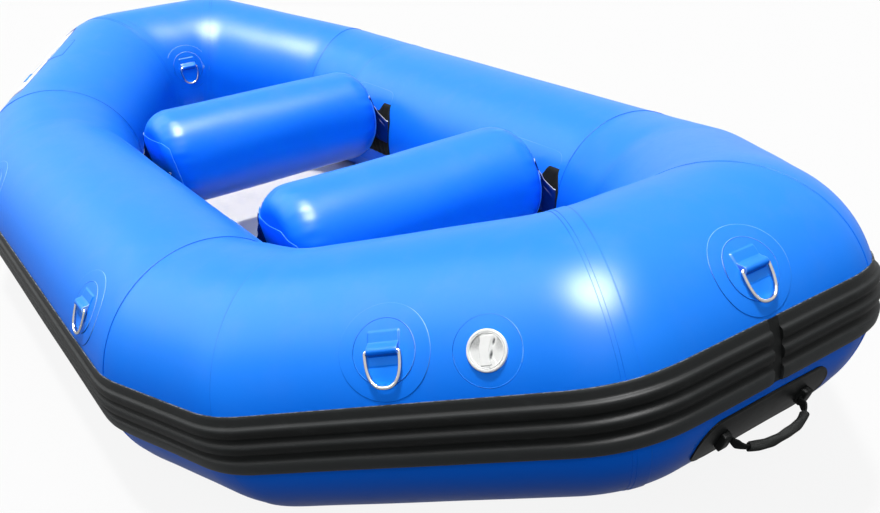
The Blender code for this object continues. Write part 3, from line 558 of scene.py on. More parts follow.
def new_group(name, inputs, outputs):
    """An empty shader group with named sockets, and its paint, input and output nodes."""
    tree = bpy.data.node_groups.new(name, "ShaderNodeTree")
    for direction, sockets in (("INPUT", inputs), ("OUTPUT", outputs)):
        for socket, kind, *value in sockets:
            made = tree.interface.new_socket(name=socket, in_out=direction, socket_type="NodeSocket" + kind)
            if value:
                made.default_value = value[0]
    paint = Paint(tree)
    return tree, paint, paint.add("NodeGroupInput"), paint.add("NodeGroupOutput")


def coated_face_group():
    """A coated fabric's face: dusty and polished where it faces up, with a pebbled grain. With its
    painted-light input on, it is also painted paler where it faces up, as painted light, and darker
    where it faces down, as painted shade."""
    tree, p, given, out = new_group(
        "coated_face",
        [("Vector", "Vector"), ("Colour", "Color"), ("Pale", "Color"), ("Fade", "Float", 0.0),
         ("Tone", "Float", 0.08), ("Dust", "Float", 0.2), ("Gloss", "Float", 0.34),
         ("Belly", "Float", 0.0)],
        [("Colour", "Color"), ("Roughness", "Float"), ("Height", "Float"), ("Polish", "Float")])
    vector, colour = given.outputs["Vector"], given.outputs["Colour"]
    slow = p.noise(vector, 2.3, 3.0)
    blotch = p.noise(vector, 14.0, 4.0, 0.6)
    tone = p.times(p.math("SUBTRACT", slow, 0.5), given.outputs["Tone"])
    shade = p.plus(1.0, p.plus(tone, p.times(p.math("SUBTRACT", blotch, 0.5), 0.03)))
    grey = p.add("ShaderNodeCombineXYZ", None, X=shade, Y=shade, Z=shade).outputs[0]
    toned = p.mix(1.0, colour, grey, "MULTIPLY")
    up = p.parts(p.add("ShaderNodeNewGeometry").outputs["Normal"])["Z"]
    below = p.times(p.fade(up, -0.75, -0.15, 1.0, 0.0), given.outputs["Belly"])
    p.join(p.math("MAXIMUM", p.fade(up, 0.20, 0.75, 0.0, 0.30), below), out.inputs["Polish"])
    # Painted light: faces that look up are mixed towards the pale colour.
    painted_lit_top = p.times(p.fade(up, 0.02, 0.65), given.outputs["Fade"])
    toned = p.mix(painted_lit_top, toned, given.outputs["Pale"])
    # Painted shade: faces that look down are mixed towards dark navy.
    kept = p.times(p.fade(up, -0.75, -0.05, 0.42, 0.0), given.outputs["Fade"])
    toned = p.mix(kept, toned, (0.0008, 0.018, 0.18))
    dust = p.times(p.times(p.fade(blotch, 0.42, 0.75), p.fade(up, 0.1, 1.0)),
                  given.outputs["Dust"])
    p.join(p.mix(dust, toned, (0.42, 0.45, 0.48)), out.inputs["Colour"])
    fine = p.noise(vector, 900.0, 2.0)
    rough = p.plus(p.times(p.math("SUBTRACT", p.noise(vector, 60.0, 3.0), 0.5), 0.08),
                   p.plus(given.outputs["Gloss"], p.times(dust, 0.8)))
    p.join(rough, out.inputs["Roughness"])
    coarse = p.noise(vector, 25.0, 2.0)
    p.join(p.plus(p.times(fine, 0.6), p.times(coarse, 0.9)), out.inputs["Height"])
    return tree


def weave_group():
    """Threads over and under: the product of two sine waves across the cloth's own UV metres."""
    tree, p, given, out = new_group("weave", [("Vector", "Vector"), ("Pitch", "Float", 0.001)],
                                    [("Height", "Float")])
    parts = p.parts(given.outputs["Vector"])
    turn = p.math("DIVIDE", math.pi, given.outputs["Pitch"])
    waves = [p.math("SINE", p.times(parts[k], turn)) for k in (0, 1)]
    p.join(p.plus(0.5, p.times(0.5, p.times(*waves))), out.inputs["Height"])
    return tree


def edge_line_group():
    """A thin line along a cut edge, whose strength comes and goes along it."""
    tree, p, given, out = new_group(
        "edge_line", [("Vector", "Vector"), ("Distance", "Float"), ("Width", "Float", 0.002),
                      ("Patchy", "Float", 0.5)], [("Mask", "Float")])
    near = p.fade(p.math("DIVIDE", given.outputs["Distance"], given.outputs["Width"]), 0.55, 1.0, 1.0, 0.0)
    comes = p.fade(p.noise(given.outputs["Vector"], 6.0, 3.0), 0.42, 0.62)
    kept = p.math("SUBTRACT", 1.0, p.times(given.outputs["Patchy"], p.math("SUBTRACT", 1.0, comes)))
    p.join(p.times(near, kept, True), out.inputs["Mask"])
    return tree


def scuff_group():
    """Light scuffs and caught dirt: stretched noise that shows where it passes a limit."""
    tree, p, given, out = new_group(
        "scuffs", [("Vector", "Vector"), ("Scale", "Float", 40.0), ("Amount", "Float", 0.3)],
        [("Mask", "Float")])
    far = p.add("ShaderNodeVectorMath", {"operation": "MULTIPLY"}, i0=given.outputs["Vector"],
                i1=(1.0, 1.0, 3.5)).outputs[0]
    mask = p.fade(p.noise(far, given.outputs["Scale"], 5.0, 0.65), 0.52, 0.74)
    p.join(p.times(mask, given.outputs["Amount"], True), out.inputs["Mask"])
    return tree


def shared_group(name):
    """One of the shared groups, built the first time that it is asked for."""
    makers = {"coated_face": coated_face_group, "weave": weave_group, "edge_line": edge_line_group,
              "scuffs": scuff_group}
    return bpy.data.node_groups.get(name) or makers[name]()


def new_material(name, **constants):
    """A material with a Principled BSDF whose constant inputs are set on its own sockets."""
    made = bpy.data.materials.new(name)
    made.use_nodes = True
    shader = made.node_tree.nodes["Principled BSDF"]
    for key, value in constants.items():
        shader.inputs[key.replace("_", " ")].default_value = value
    paint = Paint(made.node_tree)
    coords = paint.add("ShaderNodeTexCoord")
    return made, paint, shader, coords.outputs["Object"], coords.outputs["UV"]


def feed(paint, shader, colour, roughness, height, depth, strength):
    """Joins a finish's colour, roughness and bump height to its shader."""
    paint.join(colour, shader.inputs["Base Color"])
    paint.join(roughness, shader.inputs["Roughness"])
    bump = paint.add("ShaderNodeBump", None, Height=height, Distance=depth, Strength=strength)
    paint.join(bump.outputs["Normal"], shader.inputs["Normal"])


def fabric_material(name, colour, line, line_width, patchy, pale=None, belly=0.0, dust=0.04, gloss=0.33):
    """Coated fabric whose cut edges carry a line of the row's line colour, which the 'lower' attribute
    turns to dark navy as painted shade.

    belly is the polish of its underside: a number, or the attribute that holds it.
    """
    made, p, shader, where, cloth = new_material(name, Specular_IOR_Level=0.025, Coat_Roughness=0.35)
    face = p.group(shared_group("coated_face"), Vector=where, Colour=(*colour, 1),
                   Pale=(*(pale or colour), 1), Fade=1.0 if pale else 0.0, Tone=0.08, Dust=dust,
                   Gloss=gloss, Belly=p.attribute(belly) if isinstance(belly, str) else belly)
    edge = p.group(shared_group("edge_line"), Vector=where, Distance=p.attribute("edge_distance"),
                   Width=line_width, Patchy=patchy).outputs["Mask"]
    weave = p.group(shared_group("weave"), Vector=cloth, Pitch=0.0011).outputs["Height"]
    scuff = p.group(shared_group("scuffs"), Vector=where, Scale=30.0, Amount=0.10).outputs["Mask"]
    # Edge line: the row's line colour, turned to dark navy painted shade where the 'lower' attribute marks
    # it.
    tinted = p.mix(edge, face.outputs["Colour"], p.mix(p.attribute("lower"), line, (0.001, 0.035, 0.26)))
    rough = p.plus(face.outputs["Roughness"],
                   p.plus(p.times(scuff, 0.5), p.times(edge, 0.2)))
    height = p.plus(face.outputs["Height"], p.times(weave, 0.12))
    p.join(face.outputs["Polish"], shader.inputs["Coat Weight"])
    feed(p, shader, tinted, rough, height, 0.00016, 0.4)
    return made


def rubber_material(name, colour):
    """Moulded rubber, dull, with scuffed ribs, paler along their upper edges partly as worn rubber and
    partly as painted highlight, and a thin bead of pale glue along its upper edge.
    """
    made, p, shader, where, _ = new_material(name, Specular_IOR_Level=0.08)
    face = p.group(shared_group("coated_face"), Vector=where, Colour=(*colour, 1), Tone=0.5, Dust=0.012,
                   Gloss=0.50)
    scuff = p.group(shared_group("scuffs"), Vector=where, Scale=22.0, Amount=0.5).outputs["Mask"]
    speckled = p.times(p.attribute("bead"), p.fade(p.noise(where, 120.0, 3.0), 0.40, 0.60, 0.1, 1.0))
    # Paler where scuffed and where the paling mask says: partly worn rubber, partly painted highlight.
    worn_and_highlit = p.mix(p.plus(p.times(scuff, 0.35), p.attribute("wear_and_highlight"), True), face.outputs["Colour"],
                   (0.034, 0.037, 0.038))
    grain = p.plus(face.outputs["Height"], p.noise(where, 260.0, 3.0))
    feed(p, shader, p.mix(speckled, worn_and_highlit, (0.36, 0.42, 0.50)), face.outputs["Roughness"], grain,
         0.0003, 0.6)
    return made


def webbing_material(name, colour):
    """Woven webbing: a coarse weave in the strap's own UV metres, with paler worn threads."""
    made, p, shader, where, cloth = new_material(name, Specular_IOR_Level=0.05)
    weave = p.group(shared_group("weave"), Vector=cloth, Pitch=0.0016).outputs["Height"]
    scuff = p.group(shared_group("scuffs"), Vector=where, Scale=60.0, Amount=0.5).outputs["Mask"]
    threads = p.mix(p.times(weave, 0.5), colour, tuple(2.2 * c + 0.006 for c in colour))
    feed(p, shader, p.mix(scuff, threads, (0.020, 0.023, 0.021)),
         p.fade(weave, 0.0, 1.0, 0.85, 0.62), weave, 0.0004, 0.5)
    return made


def steel_material(name, colour):
    """Polished stainless wire with fine scratches and a few dull spots."""
    made, p, shader, where, _ = new_material(name, Metallic=1.0)
    scratch = p.group(shared_group("scuffs"), Vector=where, Scale=420.0, Amount=1.0).outputs["Mask"]
    cloud = p.noise(where, 90.0, 3.0)
    rough = p.plus(p.fade(cloud, 0.3, 0.75, 0.07, 0.20), p.times(scratch, 0.2))
    feed(p, shader, p.mix(p.fade(cloud, 0.4, 0.8, 0.0, 0.35), colour, tuple(0.72 * c for c in colour)),
         rough, scratch, 0.00005, 0.3)
    return made


def plastic_material(name, colour):
    """Moulded white plastic with a soft satin face, painted grey in its recesses as painted shade."""
    made, p, shader, where, _ = new_material(name, Specular_IOR_Level=0.15)
    speck = p.noise(where, 320.0, 3.0)
    # Painted shade, speckled: the mask greys the dish, darkens the pits and draws a line under the bar.
    dirt = p.times(p.attribute("painted_shade"), p.fade(speck, 0.2, 0.7, 0.65, 1.0))
    toned = p.mix(p.fade(p.noise(where, 45.0, 2.0), 0.3, 0.8, 0.0, 0.15), colour, (0.60, 0.62, 0.62))
    feed(p, shader, p.mix(dirt, toned, (0.06, 0.065, 0.07)),
         p.fade(speck, 0.2, 0.8, 0.30, 0.44), speck, 0.00004, 0.25)
    return made


def finish(name):
    """One of the raft's finishes, made from the settings the first time that it is asked for."""
    found = bpy.data.materials.get(name)
    if found:
        return found
    s = bpy.context.scene.raft
    # pale is the colour painted on fabric where it faces up: painted light.
    blue, pale = tuple(s.fabric_colour), (0.012, 0.240, 1.0)
    # A fabric's row: colour, line, its width, patchiness, pale colour painted where it faces up as painted
    # light, belly, dust and gloss
    maker, *values = {
        # Dark edge lines on hull, tapes and thwarts: partly glue, partly painted shade of the lap's step.
        "hull_fabric": (fabric_material, blue, (0.001, 0.120, 0.70), 0.0017, 0.70, pale, "inboard"),
        "tape_fabric": (fabric_material, blue, (0.001, 0.125, 0.64), 0.0013, 0.95, pale),
        # Paler edge lines on patches and flaps: painted highlight on their rims.
        "patch_fabric": (fabric_material, blue, (0.30, 0.55, 0.98), 0.0016, 0.90, pale),
        "flap_fabric": (fabric_material, blue, (0.07, 0.30, 0.90), 0.0020, 0.85, pale),
        "skirt_fabric": (fabric_material, blue, (0.09, 0.44, 0.97), 0.0020, 0.55, pale, 0.3),
        # The webs' fabric: the blue fabric painted dark navy, painted shade for the shaded gap between
        # thwart and tube.
        "painted_shade_web_fabric": (fabric_material, (0.0006, 0.016, 0.15), (0.80, 0.88, 0.94), 0.0045, 0.1),
        "thwart_fabric": (fabric_material, blue, (0.001, 0.105, 0.62), 0.0020, 0.85, pale, 0.9),
        # Dark edge line on the bare panel: partly dirt, partly painted shadow.
        "bare_panel": (fabric_material, (0.74, 0.77, 0.80), (0.02, 0.04, 0.09), 0.0045, 0.3),
        "floor_fabric": (fabric_material, tuple(s.floor_colour), (0.35, 0.37, 0.38), 0.002, 0.5, None,
                         0.0, 0.2, 0.45),
        "moulded_rubber": (rubber_material, tuple(s.rubber_colour)),
        "woven_webbing": (webbing_material, tuple(s.webbing_colour)),
        "handle_cloth": (webbing_material, tuple(1.6 * c + 0.009 for c in s.webbing_colour)),
        "polished_steel": (steel_material, tuple(s.steel_colour)),
        "moulded_plastic": (plastic_material, tuple(s.plastic_colour))}[name]
    return maker(name, *values)


def with_mask(item, name, values):
    """Stores one number a point, such as wear, for the item's material to read."""
    layer = item.data.attributes.new(name, "FLOAT", "POINT")
    values = np.broadcast_to(values, np.shape(values) or len(layer.data))
    layer.data.foreach_set("value", values.astype(np.float32).ravel())


def with_wall(item, thickness):
    """Gives an open sheet its thickness, inwards from the face that shows."""
    wall = item.modifiers.new("Fabric", "SOLIDIFY")
    wall.thickness, wall.offset = thickness, -1.0


# The pieces

PANELS = (("side_panel_starboard", "side_tube_starboard"),
          ("gusset_panel_bow_starboard", "quarter_tube_bow_starboard"),
          ("quarter_panel_bow_starboard", "quarter_tube_bow_starboard"),
          ("end_panel_bow", "end_tube_bow"),
          ("quarter_panel_bow_port", "quarter_tube_bow_port"),
          ("gusset_panel_bow_port", "quarter_tube_bow_port"),
          ("side_panel_port", "side_tube_port"),
          ("gusset_panel_stern_port", "quarter_tube_stern_port"),
          ("quarter_panel_stern_port", "quarter_tube_stern_port"),
          ("end_panel_stern", "end_tube_stern"),
          ("quarter_panel_stern_starboard", "quarter_tube_stern_starboard"),
          ("gusset_panel_stern_starboard", "quarter_tube_stern_starboard"))


class RAFT_OT_hull(bpy.types.Operator):
    """Lay the twelve fabric panels of the hull tube, lapped at the gussets and butted at the ends"""
    bl_idname = "raft.hull"
    bl_label = "Hull Panels"

    def execute(self, context):
        for run, (name, node) in enumerate(PANELS):
            self.panel(name, node, run, context.scene.raft.fabric_thickness)
        return {"FINISHED"}

    def panel(self, name, node, run, thickness):
        """One run's fabric: rows from edge to edge, columns round the tube.

        An upper panel's edge is lifted by the lap's height, which fades out over its taper. A
        gusset goes on under its neighbours at no lift.
        """
        angle = circle(AROUND)[None]
        first, last = span_of(run, angle)
        under = LAP_UNDER if run % 6 in (1, 5) else 0.0
        rows = close_rows_of(last - first + 2 * under)
        lift, edge = 0.0 * rows, NO_EDGE
        for lapped, gap in ((run % 6 in (0, 2), rows), (run % 6 in (0, 4), last - first - rows)):
            if lapped:
                lift = lift + LAP_LIFT * (1 - smooth(gap / LAP_TAPER))
                edge = np.minimum(edge, gap)
        where, share = unrolled(run, first + rows - under, angle)
        points = hull_point(where, share, angle, lift)
        shell = grid(points, rows.mean(axis=1), angle[0] * RADIUS, close_columns=True, edge=edge)
        item = piece(name, shell, "hull_fabric", replaces=[node], turn_out=False)
        with_mask(item, "inboard", np.broadcast_to(0.9 * smooth(-2 * np.cos(angle)), points.shape[:2]))
        with_wall(item, thickness)


class RAFT_OT_seam_tapes(bpy.types.Operator):
    """Glue the double tapes over the four seams between the quarters and the ends"""
    bl_idname = "raft.seam_tapes"
    bl_label = "Seam Tapes"

    def execute(self, context):
        s = context.scene.raft
        thick = 0.6 * s.patch_thickness
        low, high = -0.24 * s.seam_tape, 0.76 * s.seam_tape
        layers = (("lower", low, high, 0.0), ("upper", -0.02 * s.seam_tape, high - 0.0015, thick))
        for name, run, towards_end in (("bow_starboard", QUARTER_BOW_STARBOARD, 1),
                                       ("bow_port", END_BOW, -1), ("stern_port", QUARTER_STERN_PORT, 1),
                                       ("stern_starboard", END_STERN, -1)):
            for layer, low, high, base in layers:
                piece(f"seam_tape_{layer}_{name}", self.band(run, low, high, towards_end, thick, base),
                      "tape_fabric")
        return {"FINISHED"}

    def band(self, run, low, high, towards_end, thickness, base):
        """A strip's closed section carried once round the tube, astride the end of a run."""
        angle = circle(AROUND)[None]
        offset, lift = slab_section(high - low, thickness, 14)
        offset = (offset + (low + high) / 2) * towards_end
        where, share = unrolled(run, span_of(run, angle)[1] + offset[:, None], angle)
        points = hull_point(where, share, angle, lift[:, None] + base)
        edge = (high - low) / 2 - np.abs(offset - offset.mean())
        edge = edge[:, None] + NO_EDGE * smooth(-2 * np.cos(angle) + 0.3 - np.sin(angle))
        return grid(points, offset, angle[0] * RADIUS, close_rows=True, close_columns=True, edge=edge)


class RAFT_OT_floor(bpy.types.Operator):
    """Stretch the floor sheet under the tubes"""
    bl_idname = "raft.floor"
    bl_label = "Floor Sheet"

    def execute(self, context):
        steps = ((10, 14), (11, 8), (0, 34), (1, 8), (2, 14))
        runs = np.append(np.concatenate([np.full(count, run) for run, count in steps]), 2)
        share = np.append(np.concatenate([np.arange(count) / count for _, count in steps]), 1.0)
        margin = np.radians(np.array([258.0, 252.0, 246.0, 241.0]))
        starboard = hull_point(runs[:, None], share[:, None], margin[None], FLOOR_LIFT)
        port = starboard[:, ::-1] * (1, -1, 1)
        across = np.linspace(0, 1, 50)[None, :, None]
        middle = starboard[:, -1:] * (1 - across) + port[:, :1] * across
        crease = np.sin(across[..., 0] * 9 + middle[..., 0] * 4) * np.sin(across[..., 0] * math.pi)
        middle[..., 2] += 0.0016 * crease - 0.004 * np.sin(across[..., 0] * math.pi)
        top = np.concatenate([starboard[:, :-1], middle, port[:, 1:]], axis=1)
        top[..., 2] = np.maximum(top[..., 2], 0.004)
        length = np.linalg.norm(np.diff(top[:, 25], axis=0), axis=1).sum()
        width = np.linalg.norm(np.diff(top[40], axis=0), axis=1).sum()
        shell = grid(top, np.linspace(0, length, len(top)), np.linspace(0, width, top.shape[1]))
        item = piece("floor_fabric_sheet", shell, "floor_fabric", replaces=["floor_sheet"], turn_out=False)
        with_wall(item, FLOOR_THICKNESS)
        return {"FINISHED"}


def thwart_profile():
    """Radius and reach from the middle of a thwart's end out over its shoulder, a quarter ellipse."""
    t = np.linspace(0, math.pi / 2, 22)
    reach = THWART_END - 0.004
    radius = np.concatenate([[0.002, 0.02, 0.042, 0.062],
                             THWART_RADIUS - SHOULDER_RADIUS * (1 - np.sin(t)), np.full(3, THWART_RADIUS)])
    y = np.concatenate([reach + np.array([0.0030, 0.0028, 0.0020, 0.0010]),
                        reach - SHOULDER_DEPTH * (1 - np.cos(t)),
                        reach - SHOULDER_DEPTH - np.array([0.01, 0.025, 0.05])])
    return radius, y


def thwart_ripple(fore, y, radius, turn):
    """Change of a thwart's radius: puckers under a bell over the shoulder and two slow waves."""
    near = np.exp(-((np.abs(y) - (THWART_END - 0.040)) / 0.025) ** 2)
    pucker = np.sin(19 * turn + 1.3 * np.sin(3 * turn) + fore) + 0.6 * np.sin(31 * turn + 2 + y * 40)
    slow = 0.0012 * np.sin(2 * turn + y * 7 + fore) + 0.0006 * np.sin(5 * turn - y * 13)
    return near * 0.0005 * pucker * smooth(radius / 0.1) + slow * smooth(radius / 0.12)


def thwart_bulge(side, height):
    """How much further out a starboard end's upper part stands, pressed up over the tube."""
    return 0.013 * smooth((height + 0.03) / 0.09) * (side < 0)


class ThwartEnd:
    """A thwart's end as a place for fabric: x ahead and y up from its middle, over the skin."""

    def __init__(self, fore, side):
        self.fore, self.side = fore, side

    def on_fabric(self, x, y, lift=0.0):
        """Points of the skin at a distance over it from the middle, raised along its normal."""
        x, y, lift = np.broadcast_arrays(x, y, lift)
        radius, reach = thwart_profile()
        path = distances(np.stack([radius, reach], -1)) + radius[0]
        distance, turn = np.hypot(x, y), np.arctan2(y, x)
        out, across = np.interp(distance, path, reach), np.interp(distance, path, radius)
        rise = np.interp(distance, path, np.gradient(radius, path))
        fall = -np.interp(distance, path, np.gradient(reach, path))
        across = np.where(distance < radius[0], distance, across)
        across = across + thwart_ripple(self.fore, out, across, turn) + lift * fall
        out = out + thwart_bulge(self.side, across * np.sin(turn))
        return np.stack([self.fore * THWART_STATION + across * np.cos(turn),
                         self.side * (out + lift * rise), THWART_HEIGHT + across * np.sin(turn)], -1)


class RAFT_OT_thwarts(bpy.types.Operator):
    """Inflate the two thwarts, with puckered shoulders and their small valves"""
    bl_idname = "raft.thwarts"
    bl_label = "Thwarts"

    def execute(self, context):
        for name, fore in (("fore", 1), ("aft", -1)):
            item = piece(f"{name}_thwart_skin", self.skin(fore), "thwart_fabric",
                         replaces=[f"{name}_thwart"])
            self.valve(name, fore)
        return {"FINISHED"}

    def skin(self, fore):
        """The end's profile, the body and the other end's profile, turned about the thwart's axis."""
        radius, y = thwart_profile()
        body = np.linspace(y[-1], -y[-1], 48)[1:-1]
        y = np.concatenate([y, body, -y[::-1]])[:, None]
        radius = np.concatenate([radius, np.full(len(body), THWART_RADIUS), radius[::-1]])[:, None]
        turn = circle(AROUND)[None]
        path = distances(np.hstack([y, radius]))
        radius = radius + thwart_ripple(fore, y, radius, turn)
        bulge = thwart_bulge(-1, radius * np.sin(turn)) * smooth((0.05 - y) / 0.38)
        points = np.stack([fore * THWART_STATION + radius * np.cos(turn), y - bulge,
                           THWART_HEIGHT + radius * np.sin(turn)], -1)
        return grid(points, path, turn[0] * THWART_RADIUS, close_columns=True, caps=True)

    def valve(self, name, fore):
        """The small valve's flange, neck and domed cap, turned about an axis that points aft."""
        profile = np.array([(0.0004, 0.0098), (0.006, 0.0096), (0.0105, 0.0088), (0.0125, 0.0072),
                            (0.0130, 0.0050), (0.0130, 0.0028), (0.0140, 0.0024), (0.0172, 0.0022),
                            (0.0180, 0.0014), (0.0180, 0.0002), (0.0092, 0.0001), (0.0090, -0.013),
                            (0.0004, -0.014)])
        turn = circle(48)[None]
        r, out = profile[:, :1], profile[:, 1:]
        r = r + 0.0004 * np.clip(np.sin(16 * turn) * 3, -1, 1) * ((out > 0.0027) & (r > 0.012))
        points = np.stack([fore * THWART_STATION - THWART_RADIUS - out + 0 * turn,
                           THWART_VALVE_OFFSET + r * np.cos(turn), THWART_HEIGHT + r * np.sin(turn)], -1)
        piece(f"{name}_thwart_valve_cap", grid(points, close_columns=True, caps=True),
              "moulded_plastic", replaces=[f"{name}_thwart_valve"], sharp=40)


class RAFT_OT_thwart_fastenings(bpy.types.Operator):
    """Glue the thwarts' end skirts, side webs, tube patches and the webbing between them"""
    bl_idname = "raft.thwart_fastenings"
    bl_label = "Thwart Fastenings"

    def execute(self, context):
        s = context.scene.raft
        for side, run, out in (("starboard", SIDE_STARBOARD, -1), ("port", SIDE_PORT, 1)):
            for name, fore in (("fore", 1), ("aft", -1)):
                ahead = SIDE / 2 + fore * THWART_STATION
                spot = Spot(run, ahead if side == "starboard" else SIDE - ahead, 0, True)
                end = ThwartEnd(fore, out)
                piece(f"{name}_thwart_patch_{side}", self.flap(spot, s.patch_thickness),
                      "flap_fabric", replaces=[f"{name}_thwart_flap_{side}"])
                piece(f"{name}_thwart_webbing_{side}", self.webbing(spot), "woven_webbing",
                      replaces=[f"{name}_thwart_strap_{side}"])
                piece(f"{name}_thwart_skirt_{side}", self.skirt(end, fore), "skirt_fabric")
                webs = self.web(end, spot, out, 1).outward() + self.web(end, spot, out, -1).outward()
                # The webs are painted dark navy: painted shade.
                piece(f"{name}_thwart_webs_{side}", webs, "painted_shade_web_fabric")
        return {"FINISHED"}

    def flap(self, spot, thickness):
        """A patch with rounded corners on the inboard side of the tube, higher than it is deep."""
        low, high, half_x = -26, 42, 0.110
        half_y = math.radians(high - low) / 2 * RADIUS

        def outline(t):
            x, y = superellipse(t, 9)
            return half_x * x, half_y * y
        return fabric_disc(Spot(spot.run, spot.along, (low + high) / 2, True), half_y, thickness,
                           outline=outline)

    def skirt(self, end, fore):
        """Fabric over the end up to a wavy crest, a rounded square cut by the mean of a broken line."""
        knots = {1: ((-0.130, 0.040), (-0.088, 0.080), (-0.073, 0.060), (-0.023, 0.055), (0.044, 0.062),
                     (0.074, 0.049), (0.096, 0.045), (0.130, 0.010)),
                 -1: ((-0.130, 0.030), (-0.081, 0.067), (0.007, 0.070), (0.075, 0.074), (0.108, 0.062),
                      (0.124, -0.004))}[fore]
        half = 0.118
        at, height = zip(*knots)
        crest = lambda x: sum(np.interp(x + k, at, height) for k in (-0.006, -0.003, 0, 0.003, 0.006)) / 5

        def outline(t):
            c, s = np.cos(t), np.sin(t)
            low, high = 0.03 + 0 * t, half * np.hypot(*superellipse(t, 4))
            for _ in range(20):
                middle = (low + high) / 2
                under = middle * s < crest(middle * c)
                low, high = np.where(under, middle, low), np.where(under, high, middle)
            return low * c, low * s

        def crease(x, y):
            """A short fold below the fore thwart's crest."""
            share = np.clip((x + 0.084) / 0.029, 0, 1)
            fold = np.hypot(x + 0.084 - 0.029 * share, y - 0.045 + 0.008 * share)
            return 0.0010 * np.exp(-(fold / 0.0022) ** 2) * (fore > 0)
        return fabric_disc(end, half, 0.0013, base=0.0003, outline=outline, crown=crease, columns=240,
                           rows=36)

    def web(self, end, spot, out, sense):
        """A crumpled sheet from a thwart's shoulder to the tube, with a free upper edge.

        Straight lines join its two glued edges. A sine arch draws it in towards the end's middle,
        three waves crumple it, and beyond each edge a margin lies flat on what it is glued to.
        """
        down = np.linspace(0, 1, 40)[None]
        span = np.linspace(0, 1, 24)[:, None]
        ahead = sense * out
        top = 0.074 if out > 0 else 0.068 if sense < 0 else -0.010
        height = top - (top + 0.060) * down
        inset = 0.020 * (1 - down) * (out > 0)
        fixed = end.on_fabric(sense * (0.086 + inset), height, 0.0020)
        edge_x, edge_y = 0.119 + 0.010 * np.sin(2.4 * down), 0.076 - 0.066 * down
        held = spot.on_fabric(ahead * edge_x, edge_y, 0.0052)
        arch = np.sin(math.pi * span) * (0.012 + 0.006 * down)
        crumple = np.sin(math.pi * span) * (
            0.0035 * np.sin(11 * span + 7 * down) + 0.0030 * np.sin(19 * down - 5 * span + sense)
            + 0.0018 * np.sin(31 * down))
        sheet = fixed * (1 - span[..., None]) + held * span[..., None]
        sheet[..., 0] -= sense * (arch + crumple)
        sheet[..., 2] -= (0.003 if out > 0 else 0.012) * np.sin(math.pi * span) * (1 - down)
        near = np.array([0.0, 0.35, 0.7])[:, None]
        on_end = end.on_fabric(sense * (0.074 + inset + 0.012 * near), height, 0.0020)
        far = np.array([0.25, 0.5, 0.75, 1.0])[:, None]
        on_tube = spot.on_fabric(ahead * (edge_x + 0.007 * far), edge_y, 0.0052 - 0.0012 * far)
        points = np.concatenate([on_end, sheet, on_tube])
        thick = 0.0010 * normals_of(points)
        depth = 0.130 * down
        return slab(points + thick / 2, points - thick / 2, distances(points[:, 20]), depth[0], depth)

    def webbing(self, spot):
        """Folded webbing between end and tube: a band whose lift waves as the turns lie side by side."""
        share, across = np.linspace(0, 1, 34)[:, None], np.linspace(-1, 1, 117)[None]
        top = 0.096 + 0.028 * smooth((np.abs(across) - 0.45) / 0.25)
        y = -0.036 + (top + 0.036) * share
        x = across * (0.113 + 0.022 * smooth((0.124 - y) / 0.06))
        turns = np.abs(np.sin(x * math.pi / 0.027 + 0.5 * np.sin(y * 40)))
        lift = 0.0020 + 0.0022 * turns ** 0.5 + 0.0010 * np.sin(y * 90 + x * 25)
        lift = lift * smooth((1 - share) / 0.06 + 0.15)
        outer = spot.on_fabric(x, y, lift + 0.0006)
        inner = spot.on_fabric(x, y, 0.0006)
        return slab(outer, inner, 0.16 * share[:, 0], 0.12 * across[0], NO_EDGE)


class RAFT_OT_stern_panel(bpy.types.Operator):
    """Glue the bare pale panel and its tab on the starboard stern quarter"""
    bl_idname = "raft.stern_panel"
    bl_label = "Stern Panel"

    def execute(self, context):
        for name, along, degrees, half_x, half_y, look in (
                ("stern_panel", 0.238, 53.0, 0.229, 0.0335, "bare_panel"),
                ("stern_panel_tab", 0.202, 66.5, 0.058, 0.0334, "skirt_fabric")):
            def outline(t):
                x, y = superellipse(t, 14)
                return half_x * x, half_y * y
            sheet = fabric_disc(Spot(QUARTER_STERN_STARBOARD, along, degrees), half_y, 0.0007,
                                outline=outline, columns=160)
            # Edge lines painted dark navy all round: partly dirt, partly painted shadow along the edges.
            with_mask(piece(name, sheet, look), "lower", 1.0)
        return {"FINISHED"}


